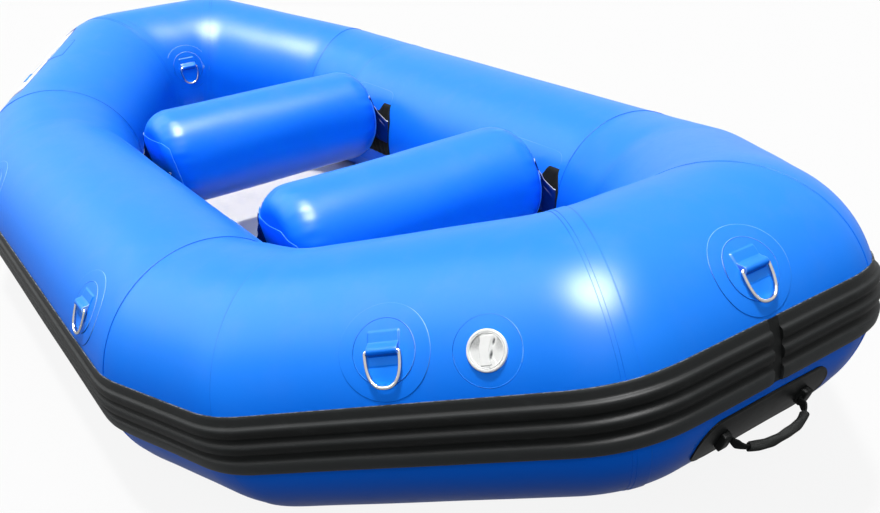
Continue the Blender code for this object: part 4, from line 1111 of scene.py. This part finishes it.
class RAFT_OT_rub_strip(bpy.types.Operator):
    """Run the ribbed rub strip once round the hull and cover its splice"""
    bl_idname = "raft.rub_strip"
    bl_label = "Rub Strip"

    def execute(self, context):
        down, lift, wear_and_highlight = self.section()
        run, share = self.lap()
        angle = math.radians(STRIP_TOP) - down[:, None] / RADIUS
        centre = STARTS[END_BOW, 1] + HEADINGS[END_BOW, 1] * END / 2
        rows = hull_point(run[None], share[None], angle, lift[:, None])
        near = smooth((np.abs(rows[..., 1] - centre) - STRIP_SPLICE / 2) / 0.010)
        near = np.where(rows[..., 0] > 0, near, 1.0)
        low = np.minimum(lift, 0.0028)[:, None]
        points = hull_point(run[None], share[None], angle, low + (lift[:, None] - low) * near)
        gap = STRIP_SPLICE / 2 - 0.0005
        points[:, 0, 1] = gap
        points[:, -1, 1] = -gap
        turned = np.swapaxes(points, 0, 1)
        shell = grid(turned, distances(points[0]), down, close_columns=True, caps=True)
        item = piece("rub_strip_ribbed", shell, "moulded_rubber", replaces=["rub_strip"], sharp=60)
        # The paling mask: partly worn rubber, partly painted highlight along the ribs' upper edges.
        for name, values in (("wear_and_highlight", wear_and_highlight), ("bead", 0.5 * (down < 0.0007) * (lift > 0))):
            with_mask(item, name, np.broadcast_to(values, turned.shape[:2]))
        self.cover()
        return {"FINISHED"}

    def section(self):
        """Distance down from the upper edge, lift and paling of the section, as one closed outline.

        Flat band, rounded rib, groove, rounded rib, deep valley and a wide flat-topped rib.
        """
        # Third column, the paling: partly worn rubber, partly painted highlight along the ribs' upper
        # edges.
        outline = [(0.0000, 0.0000, 0.3), (0.0000, 0.0018, 0.6), (0.0008, 0.0026, 0.45),
                   (0.0060, 0.0027, 0.36), (0.0140, 0.0027, 0.30), (0.0165, 0.0030, 0.05),
                   (0.0182, 0.0046, 0.1),
                   (0.0196, 0.0070, 0.45), (0.0216, 0.0084, 0.35), (0.0250, 0.0088, 0.08),
                   (0.0300, 0.0086, 0.0), (0.0340, 0.0076, 0.0), (0.0365, 0.0058, 0.0),
                   (0.0385, 0.0038, 0.0), (0.0420, 0.0030, 0.05), (0.0455, 0.0034, 0.1),
                   (0.0475, 0.0058, 0.2), (0.0492, 0.0078, 0.45), (0.0515, 0.0088, 0.30),
                   (0.0550, 0.0090, 0.06), (0.0600, 0.0084, 0.0), (0.0640, 0.0070, 0.0),
                   (0.0665, 0.0046, 0.0), (0.0690, 0.0030, 0.0), (0.0740, 0.0026, 0.0),
                   (0.0775, 0.0030, 0.1), (0.0795, 0.0060, 0.3), (0.0808, 0.0082, 0.75),
                   (0.0830, 0.0092, 0.95), (0.0880, 0.0094, 0.80), (0.0940, 0.0093, 0.75),
                   (0.1000, 0.0088, 0.85), (0.1030, 0.0074, 0.85), (0.1045, 0.0044, 0.50),
                   (0.1058, 0.0022, 0.3), (0.1060, 0.0000, 0.1)]
        down, lift, wear_and_highlight = np.array(outline).T
        under = np.linspace(0.1055, 0.0005, 12)
        return (np.concatenate([down, under]), np.concatenate([lift, np.full(12, -SINK)]),
                np.concatenate([wear_and_highlight, np.zeros(12)]))

    def lap(self):
        """Runs and shares of the rows once round, from the bow's middle to the bow's middle."""
        near = np.array([0.0, 0.015, 0.03, 0.05, 0.075, 0.105, 0.14, 0.18, 0.24, 0.32, 0.41])
        shares = np.concatenate([near, [0.5], 1 - near[:0:-1]])
        first = 0.5 + STRIP_SPLICE / 2 / END
        close = first + np.array([0.0, 0.002, 0.004, 0.006, 0.008, 0.010, 0.014]) / END
        share = [np.append(close, 1 - near[-2:0:-1])]
        for k in range(4, 15):
            share.append(shares if k % 12 not in (0, 6) else np.concatenate(
                [near * 0.25, np.linspace(0.125, 0.875, 22), 1 - near[:0:-1] * 0.25]))
        share.append(np.append(near[:-1], 1 - close[::-1]))
        run = np.repeat(np.arange(3, 16) % 12, [len(part) for part in share])
        return run, np.concatenate(share)

    def cover(self):
        """The smooth piece between the strip's ends, set into the gap."""
        spot = Spot(END_BOW, END / 2, 0)
        top = math.radians(STRIP_TOP) * RADIUS
        x, lift = slab_section(STRIP_SPLICE + 0.006, 0.0030, 8)
        y = np.linspace(top - 0.0010, top - 0.1052, 44)
        sunk = 0.0008 * (1 - np.abs(np.linspace(-1, 1, 44)) ** 8)
        points = spot.on_fabric(0.8 * x[:, None], y[None], lift[:, None] - sunk[None] * (lift[:, None] > 0))
        item = piece("rub_strip_splice", grid(points, x, y, close_rows=True) + self.ends(points),
                     "moulded_rubber", replaces=["rub_strip_splice_cover"])
        with_mask(item, "wear_and_highlight", 0.05)

    def ends(self, points):
        """Flat faces over the two ends of a bar whose rows go round its section."""
        rows = len(points)
        ring = np.concatenate([points[:, 0], points[:, -1]])
        faces = [list(range(rows))[::-1], list(range(rows, 2 * rows))]
        return Shell(ring, faces, np.zeros((2 * rows, 2)), np.full(2 * rows, NO_EDGE))


class RAFT_OT_d_rings(bpy.types.Operator):
    """Glue the D-rings' round patches, fold their loops and bend their wires"""
    bl_idname = "raft.d_rings"
    bl_label = "D-Rings"

    def execute(self, context):
        s = context.scene.raft
        thick = s.patch_thickness
        for place, spot in ring_spots().items():
            discs = fabric_disc(spot, s.ring_patch, thick)
            discs.edge = discs.edge + 0.0005
            inner = fabric_disc(spot, s.ring_inner_patch, thick, base=thick, crown=self.crown,
                                columns=180, rows=44)
            discs = discs.outward() + inner.outward()
            item = piece("ring_patch_" + place, discs, "patch_fabric",
                         replaces=["d_ring_patch_" + place])
            # Edge lines: pale painted highlight on the upper arcs, dark navy painted shade on the lower
            # ones.
            with_mask(item, "lower", self.lower(discs.points, spot))
            piece("ring_loop_" + place, self.loop(spot, 2 * thick), "patch_fabric")
            piece("ring_" + place, self.wire(spot), "polished_steel", body="ring_" + place,
                  replaces=["d_ring_" + place])
        return {"FINISHED"}

    def lower(self, points, spot):
        """How far a point lies in the lower part of its patch, where its edge line is painted dark as
        painted shade: 0 above and 1 below.
        """
        x, y, out = spot.flat(points)
        return smooth(0.5 - 1.6 * (y + 0.35 * x) / out)

    def crown(self, x, y):
        """The inner patch lies over the loop's tails: a crisp table above the bar, a lower one below."""
        across = smooth((CHAPE_HALF + 0.0010 - np.abs(x)) / 0.0016)
        above = smooth((0.0320 - y) / 0.0034) * smooth((y - 0.001) / 0.004)
        below = smooth((y + 0.0225) / 0.0014) * smooth((0.002 - y) / 0.004)
        return across * (0.0020 * above + 0.0007 * below)

    def loop(self, spot, base):
        """A strap folded round the bar: the outline of its section, carried across its width.

        The section comes out of the inner patch, climbs to the bar, goes over and round it and back
        down to the patch. Its sides are pressed a little thinner than its middle.
        """
        t = np.radians(np.linspace(52, 196, 22))
        over = np.stack([0.0062 * np.cos(t), BAR_HEIGHT + 0.0062 * np.sin(t)], -1)
        up = [(0.0190, -0.0010), (0.0190, 0.0006), (0.0150, 0.0013), (0.0122, 0.0028), (0.0095, 0.0048),
              (0.0070, 0.0084)]
        back = [(-0.0064, 0.0030), (-0.0072, 0.0012), (-0.0090, 0.0002), (-0.0090, -0.0010)]
        section = np.vstack([np.array(up) + (0, base), over, np.array(back) + (0, base)])
        width = CHAPE_HALF - np.array([0.0, 0.0002, 0.0008])
        x = np.concatenate([-width, np.linspace(-0.015, 0.015, 9), width[::-1]])
        pinch = np.concatenate([[0.0009, 0.0003, 0], np.zeros(9), [0, 0.0003, 0.0009]])
        y, z = section[:, :1], section[:, 1:]
        z = z + (0.0004 * np.cos(x / CHAPE_HALF * math.pi / 2) - pinch) * (z > base + 0.0020)
        points = spot.on_fabric(x[None], y, z)
        return grid(np.swapaxes(points, 0, 1), x, distances(section), close_columns=True, caps=True,
                    edge=(CHAPE_HALF - np.abs(x))[:, None])

    def wire(self, spot):
        """A round section carried along the D: bar, short bends and a bow whose half breadth and
        depth are powers of 0.8 of cosine and sine, between an ellipse and a rectangle."""
        bend = np.linspace(0, math.pi / 2, 7)
        inner = BAR_HALF - RING_CORNER
        corner = np.stack([inner + RING_CORNER * np.sin(bend), -RING_CORNER * (1 - np.cos(bend))], -1)
        t = np.linspace(0, math.pi, 61)[1:-1]
        bow = np.stack([BAR_HALF * np.sign(np.cos(t)) * np.abs(np.cos(t)) ** 0.8,
                        -RING_CORNER - (RING_LEG + BAR_HALF - RING_CORNER) * np.sin(t) ** 0.8], -1)
        bar = np.stack([np.linspace(-inner, inner, 12)[1:-1], np.zeros(10)], -1)
        path = np.vstack([corner, bow, (corner * (-1, 1))[::-1], bar])
        ahead = np.roll(path, -1, axis=0) - np.roll(path, 1, axis=0)
        ahead /= np.linalg.norm(ahead, axis=1)[:, None]
        side = np.stack([ahead[:, 1], -ahead[:, 0]], -1)
        turn = circle(20)
        flat = path[:, None] + side[:, None] * RING_WIRE * np.cos(turn)[None, :, None]
        z = np.broadcast_to(RING_WIRE * np.sin(turn)[None], flat.shape[:2])
        lean = math.radians(RING_LEAN)
        points = np.stack([flat[..., 0], flat[..., 1] * math.cos(lean) - z * math.sin(lean),
                           flat[..., 1] * math.sin(lean) + z * math.cos(lean) + BAR_HEIGHT], -1)
        return grid(spot.rigid(points), close_rows=True, close_columns=True)


class RAFT_OT_handles(bpy.types.Operator):
    """Glue the handle patches and hang the webbing handles with their rolled grips"""
    bl_idname = "raft.handles"
    bl_label = "Carry Handles"

    def execute(self, context):
        for end, spot in HANDLE_SPOTS.items():
            patch = fabric_disc(spot, HANDLE_DEPTH, 0.0022, outline=self.outline, columns=160,
                                crown=self.border).outward()
            for side in (-1, 1):
                patch = patch + self.lug(spot, side).outward()
            item = piece("handle_base_" + end, patch, "moulded_rubber",
                         replaces=["handle_patch_" + end], sharp=50)
            with_mask(item, "wear_and_highlight", 0.04)
            piece("handle_strap_" + end, self.strap(spot), "woven_webbing", body="grip_" + end,
                  replaces=["handle_grip_" + end])
            piece("handle_sleeve_" + end, self.sleeve(spot), "handle_cloth", body="grip_" + end, sharp=45)
        return {"FINISHED"}

    def outline(self, t):
        """A long rectangle whose corners are so round that its ends are nearly half circles."""
        return tuple(np.clip(6 * along, -1, 1) * (half - HANDLE_CORNER) + HANDLE_CORNER * along
                     for half, along in ((HANDLE_PATCH, np.cos(t)), (HANDLE_DEPTH, np.sin(t))))

    def border(self, x, y):
        """A thin moulded bead along the patch's edge."""
        gap = HANDLE_DEPTH - np.hypot(np.maximum(np.abs(x) - HANDLE_PATCH + HANDLE_CORNER, 0), y)
        return 0.0009 * np.exp(-((gap - 0.0035) / 0.0014) ** 2)

    def lug(self, spot, side):
        """A stitched loop of webbing over the strap's end: a rounded box as a superellipse tube."""
        t = circle(40)
        y, z = superellipse(t, 5)
        end = np.array([0.0085, 0.0082, 0.0070, 0.003])
        x = side * HANDLE_SPAN + np.concatenate([-end, end[::-1]])
        shrink = np.array([0.80, 0.93, 1.0, 1.0, 1.0, 1.0, 0.93, 0.80])[:, None]
        points = spot.on_fabric(x[:, None], 0.0165 * y * shrink, (0.0066 * z + 0.0070) * shrink + 0.0005)
        return grid(points, x, t * 0.01, close_columns=True, caps=True)

    def arch(self, t):
        """The handle's line in the plane across the hinge: a flattened half ellipse."""
        return (HANDLE_SPAN - 0.012) * np.cos(t), HANDLE_REACH * np.sin(t) ** 0.7

    def swept(self, spot, path, out, y):
        """Points of sections along the handle's line: out from it in its plane, and y across."""
        side = sideways(path)
        return spot.rigid(np.stack([path[:, :1] + side[:, :1] * out, y + 0 * out,
                                    HINGE_LIFT + path[:, 1:] + side[:, 1:] * out], -1))

    def strap(self, spot):
        """Webbing from lug to lug along the arch: a flat section, widest a little above the lugs and
        narrow at the hinge, so that it clears the patch when the handle is folded flat."""
        t = np.linspace(0.0, math.pi, 61)
        x, z = self.arch(np.clip(t, 1e-4, math.pi - 1e-4))
        root = HANDLE_SPAN + np.array([0.005, -0.002])
        path = np.stack([np.concatenate([root, x, -root[::-1]]), np.concatenate([[0, 0], z, [0, 0]])], -1)
        around = circle(28)
        y, thick = superellipse(around, 4)
        half = np.minimum(0.0150 - 0.0095 * smooth(path[:, 1:] / 0.026), 0.0055 + 0.36 * path[:, 1:])
        points = self.swept(spot, path, 0.0018 * thick, half * y)
        return grid(points, distances(path), around * 0.005, close_columns=True, caps=True)

    def sleeve(self, spot):
        """A strip of coated cloth rolled round the strap: a radius that grows once round, so that
        its free edge stands proud, with slow folds along its length."""
        start = 0.62
        t = np.linspace(start, math.pi - start, 60)
        path = np.stack(self.arch(t), -1)
        x = path[:, :1]
        around = np.append(np.linspace(0, 2 * math.pi, 49), 2 * math.pi)
        radius = 0.0066 + 0.0014 * around / (2 * math.pi)
        radius[-1] = radius[0]
        folds = 0.0005 * np.sin(around[None] * 3 + 90 * x) + 0.0003 * np.sin(210 * x)
        folds[:, -1] = folds[:, 0]
        r, turn = radius[None] + folds, around + 0.9
        points = self.swept(spot, path, r * np.sin(turn), 1.12 * r * np.cos(turn))
        core = self.swept(spot, path, 0 * r, 0.0)
        lip = lambda k, deep, share: [(points[k] - core[k]) * share + core[deep]]
        rows = np.concatenate([lip(0, 3, 0.55), lip(0, 0, 0.82), points, lip(-1, -1, 0.82),
                               lip(-1, -4, 0.55)])
        run = distances(path)
        run = np.concatenate([[-0.006, -0.002], run, [run[-1] + 0.002, run[-1] + 0.006]])
        return grid(rows, run, around * 0.007, close_columns=True, caps=True)


class RAFT_OT_valves(bpy.types.Operator):
    """Fit the hull valves: reinforcing disc, flange and dished cap with its bar and tether"""
    bl_idname = "raft.valves"
    bl_label = "Hull Valves"

    def execute(self, context):
        s = context.scene.raft
        for end, spot in VALVE_SPOTS.items():
            disc = fabric_disc(spot, s.valve_patch, s.patch_thickness * 0.3)
            x, y, out = spot.flat(disc.points)
            # The pale edge line, a painted highlight, is kept to the disc's upper right arc.
            disc.edge = disc.edge + NO_EDGE * smooth(1.2 - 2.2 * (x + y) / out)
            piece("valve_patch_" + end, disc, "flap_fabric")
            body = piece("valve_flange_" + end, self.flange(spot), "moulded_plastic",
                         replaces=["valve_body_" + end], sharp=45)
            with_mask(body, "painted_shade", 0.0)
            shell, painted_shade = self.cap(spot)
            cap = piece("valve_cover_" + end, shell, "moulded_plastic", body="cap_" + end,
                        replaces=["valve_cap_" + end], sharp=50)
            with_mask(cap, "painted_shade", painted_shade)
        return {"FINISHED"}

    def flange(self, spot):
        """The flange, neck and bore, turned about the valve's axis as one closed section."""
        profile = np.array([(0.0266, 0.0038), (0.0268, VALVE_TOP - 0.0002), (0.0272, VALVE_TOP),
                            (0.0288, VALVE_TOP), (0.0300, 0.0042), (0.0308, 0.0032), (VALVE_FLANGE, 0.0020),
                            (VALVE_FLANGE, 0.0004), (0.0202, 0.0003), (0.0200, -0.0240),
                            (0.0105, -0.0240), (0.0105, -0.0210), (0.0130, -0.0180), (0.0130, 0.0012),
                            (0.0265, 0.0014)])
        points = self.turned(profile[:, :1], profile[:, 1:], circle(96))
        return grid(spot.rigid(points), close_rows=True, close_columns=True)

    def turned(self, r, z, turn):
        """Points at a radius and a height, turned about the valve's axis."""
        return np.stack(np.broadcast_arrays(r * np.cos(turn), r * np.sin(turn), z), -1)

    def cap(self, spot):
        """The cap's face as a height over the disc, with its underside and plug below.

        Height starts at the dish's floor. The bar, the tether and the rim rise from it by smooth
        steps of the distance to their outlines, and two shallow lens-shaped pits sink into the tether.
        The mask that comes with it is painted shade: dark in the pits, a line under the bar, and grey
        over the dish, deeper beside the bar and to the right of the tether.
        """
        turn = circle(AROUND)[None]
        r = np.concatenate([np.linspace(0.0006, 0.0230, 60), np.linspace(0.0233, 0.0250, 7),
                            [0.0255, 0.0259, CAP_RADIUS]])[:, None]
        x, y = r * np.cos(turn), r * np.sin(turn)
        left = -0.0108 + 0.0024 * smooth((y - 0.004) / 0.012)
        right = 0.0030 + 0.0095 * ((y + 0.009) / 0.030) ** 2
        bar = smooth(np.minimum(np.minimum(x - left, right - x), 0.0212 - np.abs(y)) / 0.0011 + 0.5)
        middle = right + 0.0040 + 0.0012 * np.sin(y / 0.0045)
        tether = smooth((0.0040 - np.abs(x - middle)) / 0.0011 + 0.5)
        lens = np.zeros_like(x)
        for cx, cy, lean, wide, long in ((0.0118, 0.0115, -0.32, 0.0018, 0.0050),
                                         (0.0062, -0.0070, -0.28, 0.0022, 0.0066)):
            dx, dy = x - cx, y - cy
            u, v = dx * math.cos(lean) + dy * math.sin(lean), dy * math.cos(lean) - dx * math.sin(lean)
            lens = np.maximum(lens, smooth(1.5 - np.hypot(u / wide, v / long)))
        rim = smooth((r - 0.0244) / 0.0008)
        face = np.maximum(np.maximum(bar, 0.60 * tether * (1 - bar)), rim)
        lens = lens * (1 - bar) * (1 - rim)
        height = 0.0027 + 0.0021 * face - 0.0012 * lens * tether
        height = height - 0.0007 * smooth((r - 0.0252) / 0.001)
        # Painted shadow: a short line under the bar's lower end.
        under = np.exp(-((y + 0.0205) / 0.0012) ** 2) * (np.abs(x + 0.002) < 0.0075) * (1 - bar)
        # Painted shade over the dish: upper left of the bar, and to the right of the tether.
        shaded = smooth((-x - 0.003) / 0.008) * smooth((y + 0.002) / 0.012)
        shaded = np.maximum(shaded, 0.6 * smooth((x - 0.012) / 0.006) * smooth((y + 0.006) / 0.010))
        # The painted-shade mask: full in the pits, strong under the bar, and grey over the dish.
        painted_shade = np.maximum(np.maximum(lens, 0.9 * under), (1 - face) * (0.12 + 0.50 * shaded))
        below = np.array([(CAP_RADIUS, 0.0016), (0.0126, 0.0015), (0.0124, -0.0012), (0.0006, -0.0012)])
        points = np.concatenate([self.turned(r, height, turn),
                                 self.turned(below[:, :1], below[:, 1:], turn)])
        mask = np.concatenate([painted_shade, np.zeros((len(below), AROUND))])
        return grid(spot.rigid(points), close_columns=True, caps=True), mask


class RAFT_OT_inner_parts(bpy.types.Operator):
    """Give the baffles and the valve plungers, which stay as solids, their finishes"""
    bl_idname = "raft.inner_parts"
    bl_label = "Inner Parts"

    def execute(self, context):
        for name, material in (("side_baffle_starboard", "hull_fabric"),
                               ("side_baffle_port", "hull_fabric"),
                               ("valve_plunger_bow", "moulded_rubber"),
                               ("valve_plunger_stern", "moulded_rubber")):
            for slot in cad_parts[name].material_slots:
                slot.material = finish(material)
        return {"FINISHED"}


class RAFT_OT_stage(bpy.types.Operator):
    """Set the pale ground, the soft lights and the camera at the raft's bow quarter"""
    bl_idname = "raft.stage"
    bl_label = "Stage"

    def execute(self, context):
        scene = context.scene
        self.ground(scene)
        self.light(scene)
        self.camera(scene)
        scene.view_settings.view_transform = "Standard"
        return {"FINISHED"}

    def ground(self, scene):
        """A wide pale floor that is nearly white to the camera and still takes the shadow."""
        u = np.linspace(-15, 15, 9)
        x, y = np.meshgrid(u, u, indexing="ij")
        shell = grid(np.stack([x, y, np.full(x.shape, -0.0006)], -1))
        mesh = bpy.data.meshes.new("ground")
        mesh.from_pydata(shell.points.tolist(), [], shell.faces)
        made = bpy.data.materials.new("pale_ground")
        made.use_nodes = True
        p = Paint(made.node_tree)
        shader = made.node_tree.nodes["Principled BSDF"]
        shader.inputs["Base Color"].default_value = (0.06, 0.06, 0.06, 1)
        shader.inputs["Roughness"].default_value = 0.9
        shader.inputs["Specular IOR Level"].default_value = 0.0
        shader.inputs["Emission Color"].default_value = (1, 1, 1, 1)
        path = p.add("ShaderNodeLightPath").outputs
        seen = p.math("MAXIMUM", p.times(path["Is Camera Ray"], 0.89),
                      p.times(path["Is Glossy Ray"], 0.50))
        p.join(seen, shader.inputs["Emission Strength"])
        mesh.materials.append(made)
        item = bpy.data.objects.new("ground", mesh)
        scene.collection.objects.link(item)

    def light(self, scene):
        """A soft lamp high over the raft, two weaker ones on either side, two that give only the
        highlights, and a surround that is white to the camera and in reflections."""
        for name, energy, spread, towards, diffuse, glossy in (
                ("soft_key", 2.7, 6, (-0.12, -0.03, 0.99), True, False),
                ("soft_fill", 1.25, 40, (0.54, -0.46, 0.70), True, False),
                ("soft_back", 0.4, 45, (-0.54, 0.46, 0.70), True, False),
                ("highlight", 25.0, 32, (0.17, -0.06, 0.98), False, True),
                ("glow", 3.6, 54, (-0.57, -0.46, 0.68), False, True)):
            lamp = bpy.data.lights.new(name, "SUN")
            lamp.energy, lamp.angle = energy, math.radians(spread)
            item = bpy.data.objects.new(name, lamp)
            item.rotation_euler = Vector(towards).to_track_quat("Z", "Y").to_euler()
            item.visible_diffuse, item.visible_glossy = diffuse, glossy
            scene.collection.objects.link(item)
        world = scene.world or bpy.data.worlds.new("surround")
        scene.world = world
        world.use_nodes = True
        p = Paint(world.node_tree)
        back = world.node_tree.nodes["Background"]
        back.inputs["Color"].default_value = (1, 1, 1, 1)
        path = p.add("ShaderNodeLightPath").outputs
        seen = p.math("MAXIMUM", path["Is Camera Ray"],
                      p.math("MAXIMUM", path["Is Glossy Ray"], path["Is Transmission Ray"]))
        height = p.parts(p.add("ShaderNodeTexCoord").outputs["Generated"])["Z"]
        sky = p.fade(height, 0.0, 0.9, 0.06, 0.35)
        lit = p.add("ShaderNodeMix", {"data_type": "FLOAT"}, i0=seen, i2=sky, i3=1.0).outputs[0]
        p.join(lit, back.inputs["Strength"])

    def camera(self, scene):
        """The view from off the starboard bow, from its place, heading, pitch and roll."""
        yaw, pitch, roll, eye = 2.578, -0.441, 0.076, (2.187, -1.052, 1.162)
        forward = np.array([math.cos(pitch) * math.cos(yaw), math.cos(pitch) * math.sin(yaw),
                            math.sin(pitch)])
        right = np.cross(forward, (0, 0, 1))
        right /= np.linalg.norm(right)
        down = np.cross(forward, right)
        c, s = math.cos(roll), math.sin(roll)
        right, down = right * c + down * s, -right * s + down * c
        camera = bpy.data.cameras.new("bow_quarter")
        camera.sensor_width, camera.lens = 36.0, 39.08
        item = bpy.data.objects.new("bow_quarter", camera)
        axes = np.stack([right, -down, -forward], 1).tolist()
        item.matrix_world = Matrix([(*row, place) for row, place in zip(axes, eye)] + [(0, 0, 0, 1)])
        scene.collection.objects.link(item)
        scene.camera = item


STEPS = (RAFT_OT_stage, RAFT_OT_hull, RAFT_OT_seam_tapes, RAFT_OT_floor, RAFT_OT_thwarts,
         RAFT_OT_thwart_fastenings, RAFT_OT_stern_panel, RAFT_OT_rub_strip, RAFT_OT_d_rings,
         RAFT_OT_handles, RAFT_OT_valves, RAFT_OT_inner_parts)


class RAFT_PT_panel(bpy.types.Panel):
    """The raft's settings and the steps that build it"""
    bl_label = "River Raft"
    bl_idname = "RAFT_PT_panel"
    bl_space_type = "VIEW_3D"
    bl_region_type = "UI"
    bl_category = "Raft"

    def draw(self, context):
        for name in RaftSettings.__annotations__:
            self.layout.prop(context.scene.raft, name)
        for step in STEPS:
            self.layout.operator(step.bl_idname)


CLASSES = (RaftSettings, *STEPS, RAFT_PT_panel)


def register():
    for made in CLASSES:
        bpy.utils.register_class(made)
    bpy.types.Scene.raft = PointerProperty(type=RaftSettings)


def unregister():
    del bpy.types.Scene.raft
    for made in reversed(CLASSES):
        bpy.utils.unregister_class(made)


def main():
    """Registers the add-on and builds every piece."""
    register()
    for step in STEPS:
        group, name = step.bl_idname.split(".")
        getattr(getattr(bpy.ops, group), name)()


if __name__ == "__main__":
    main()
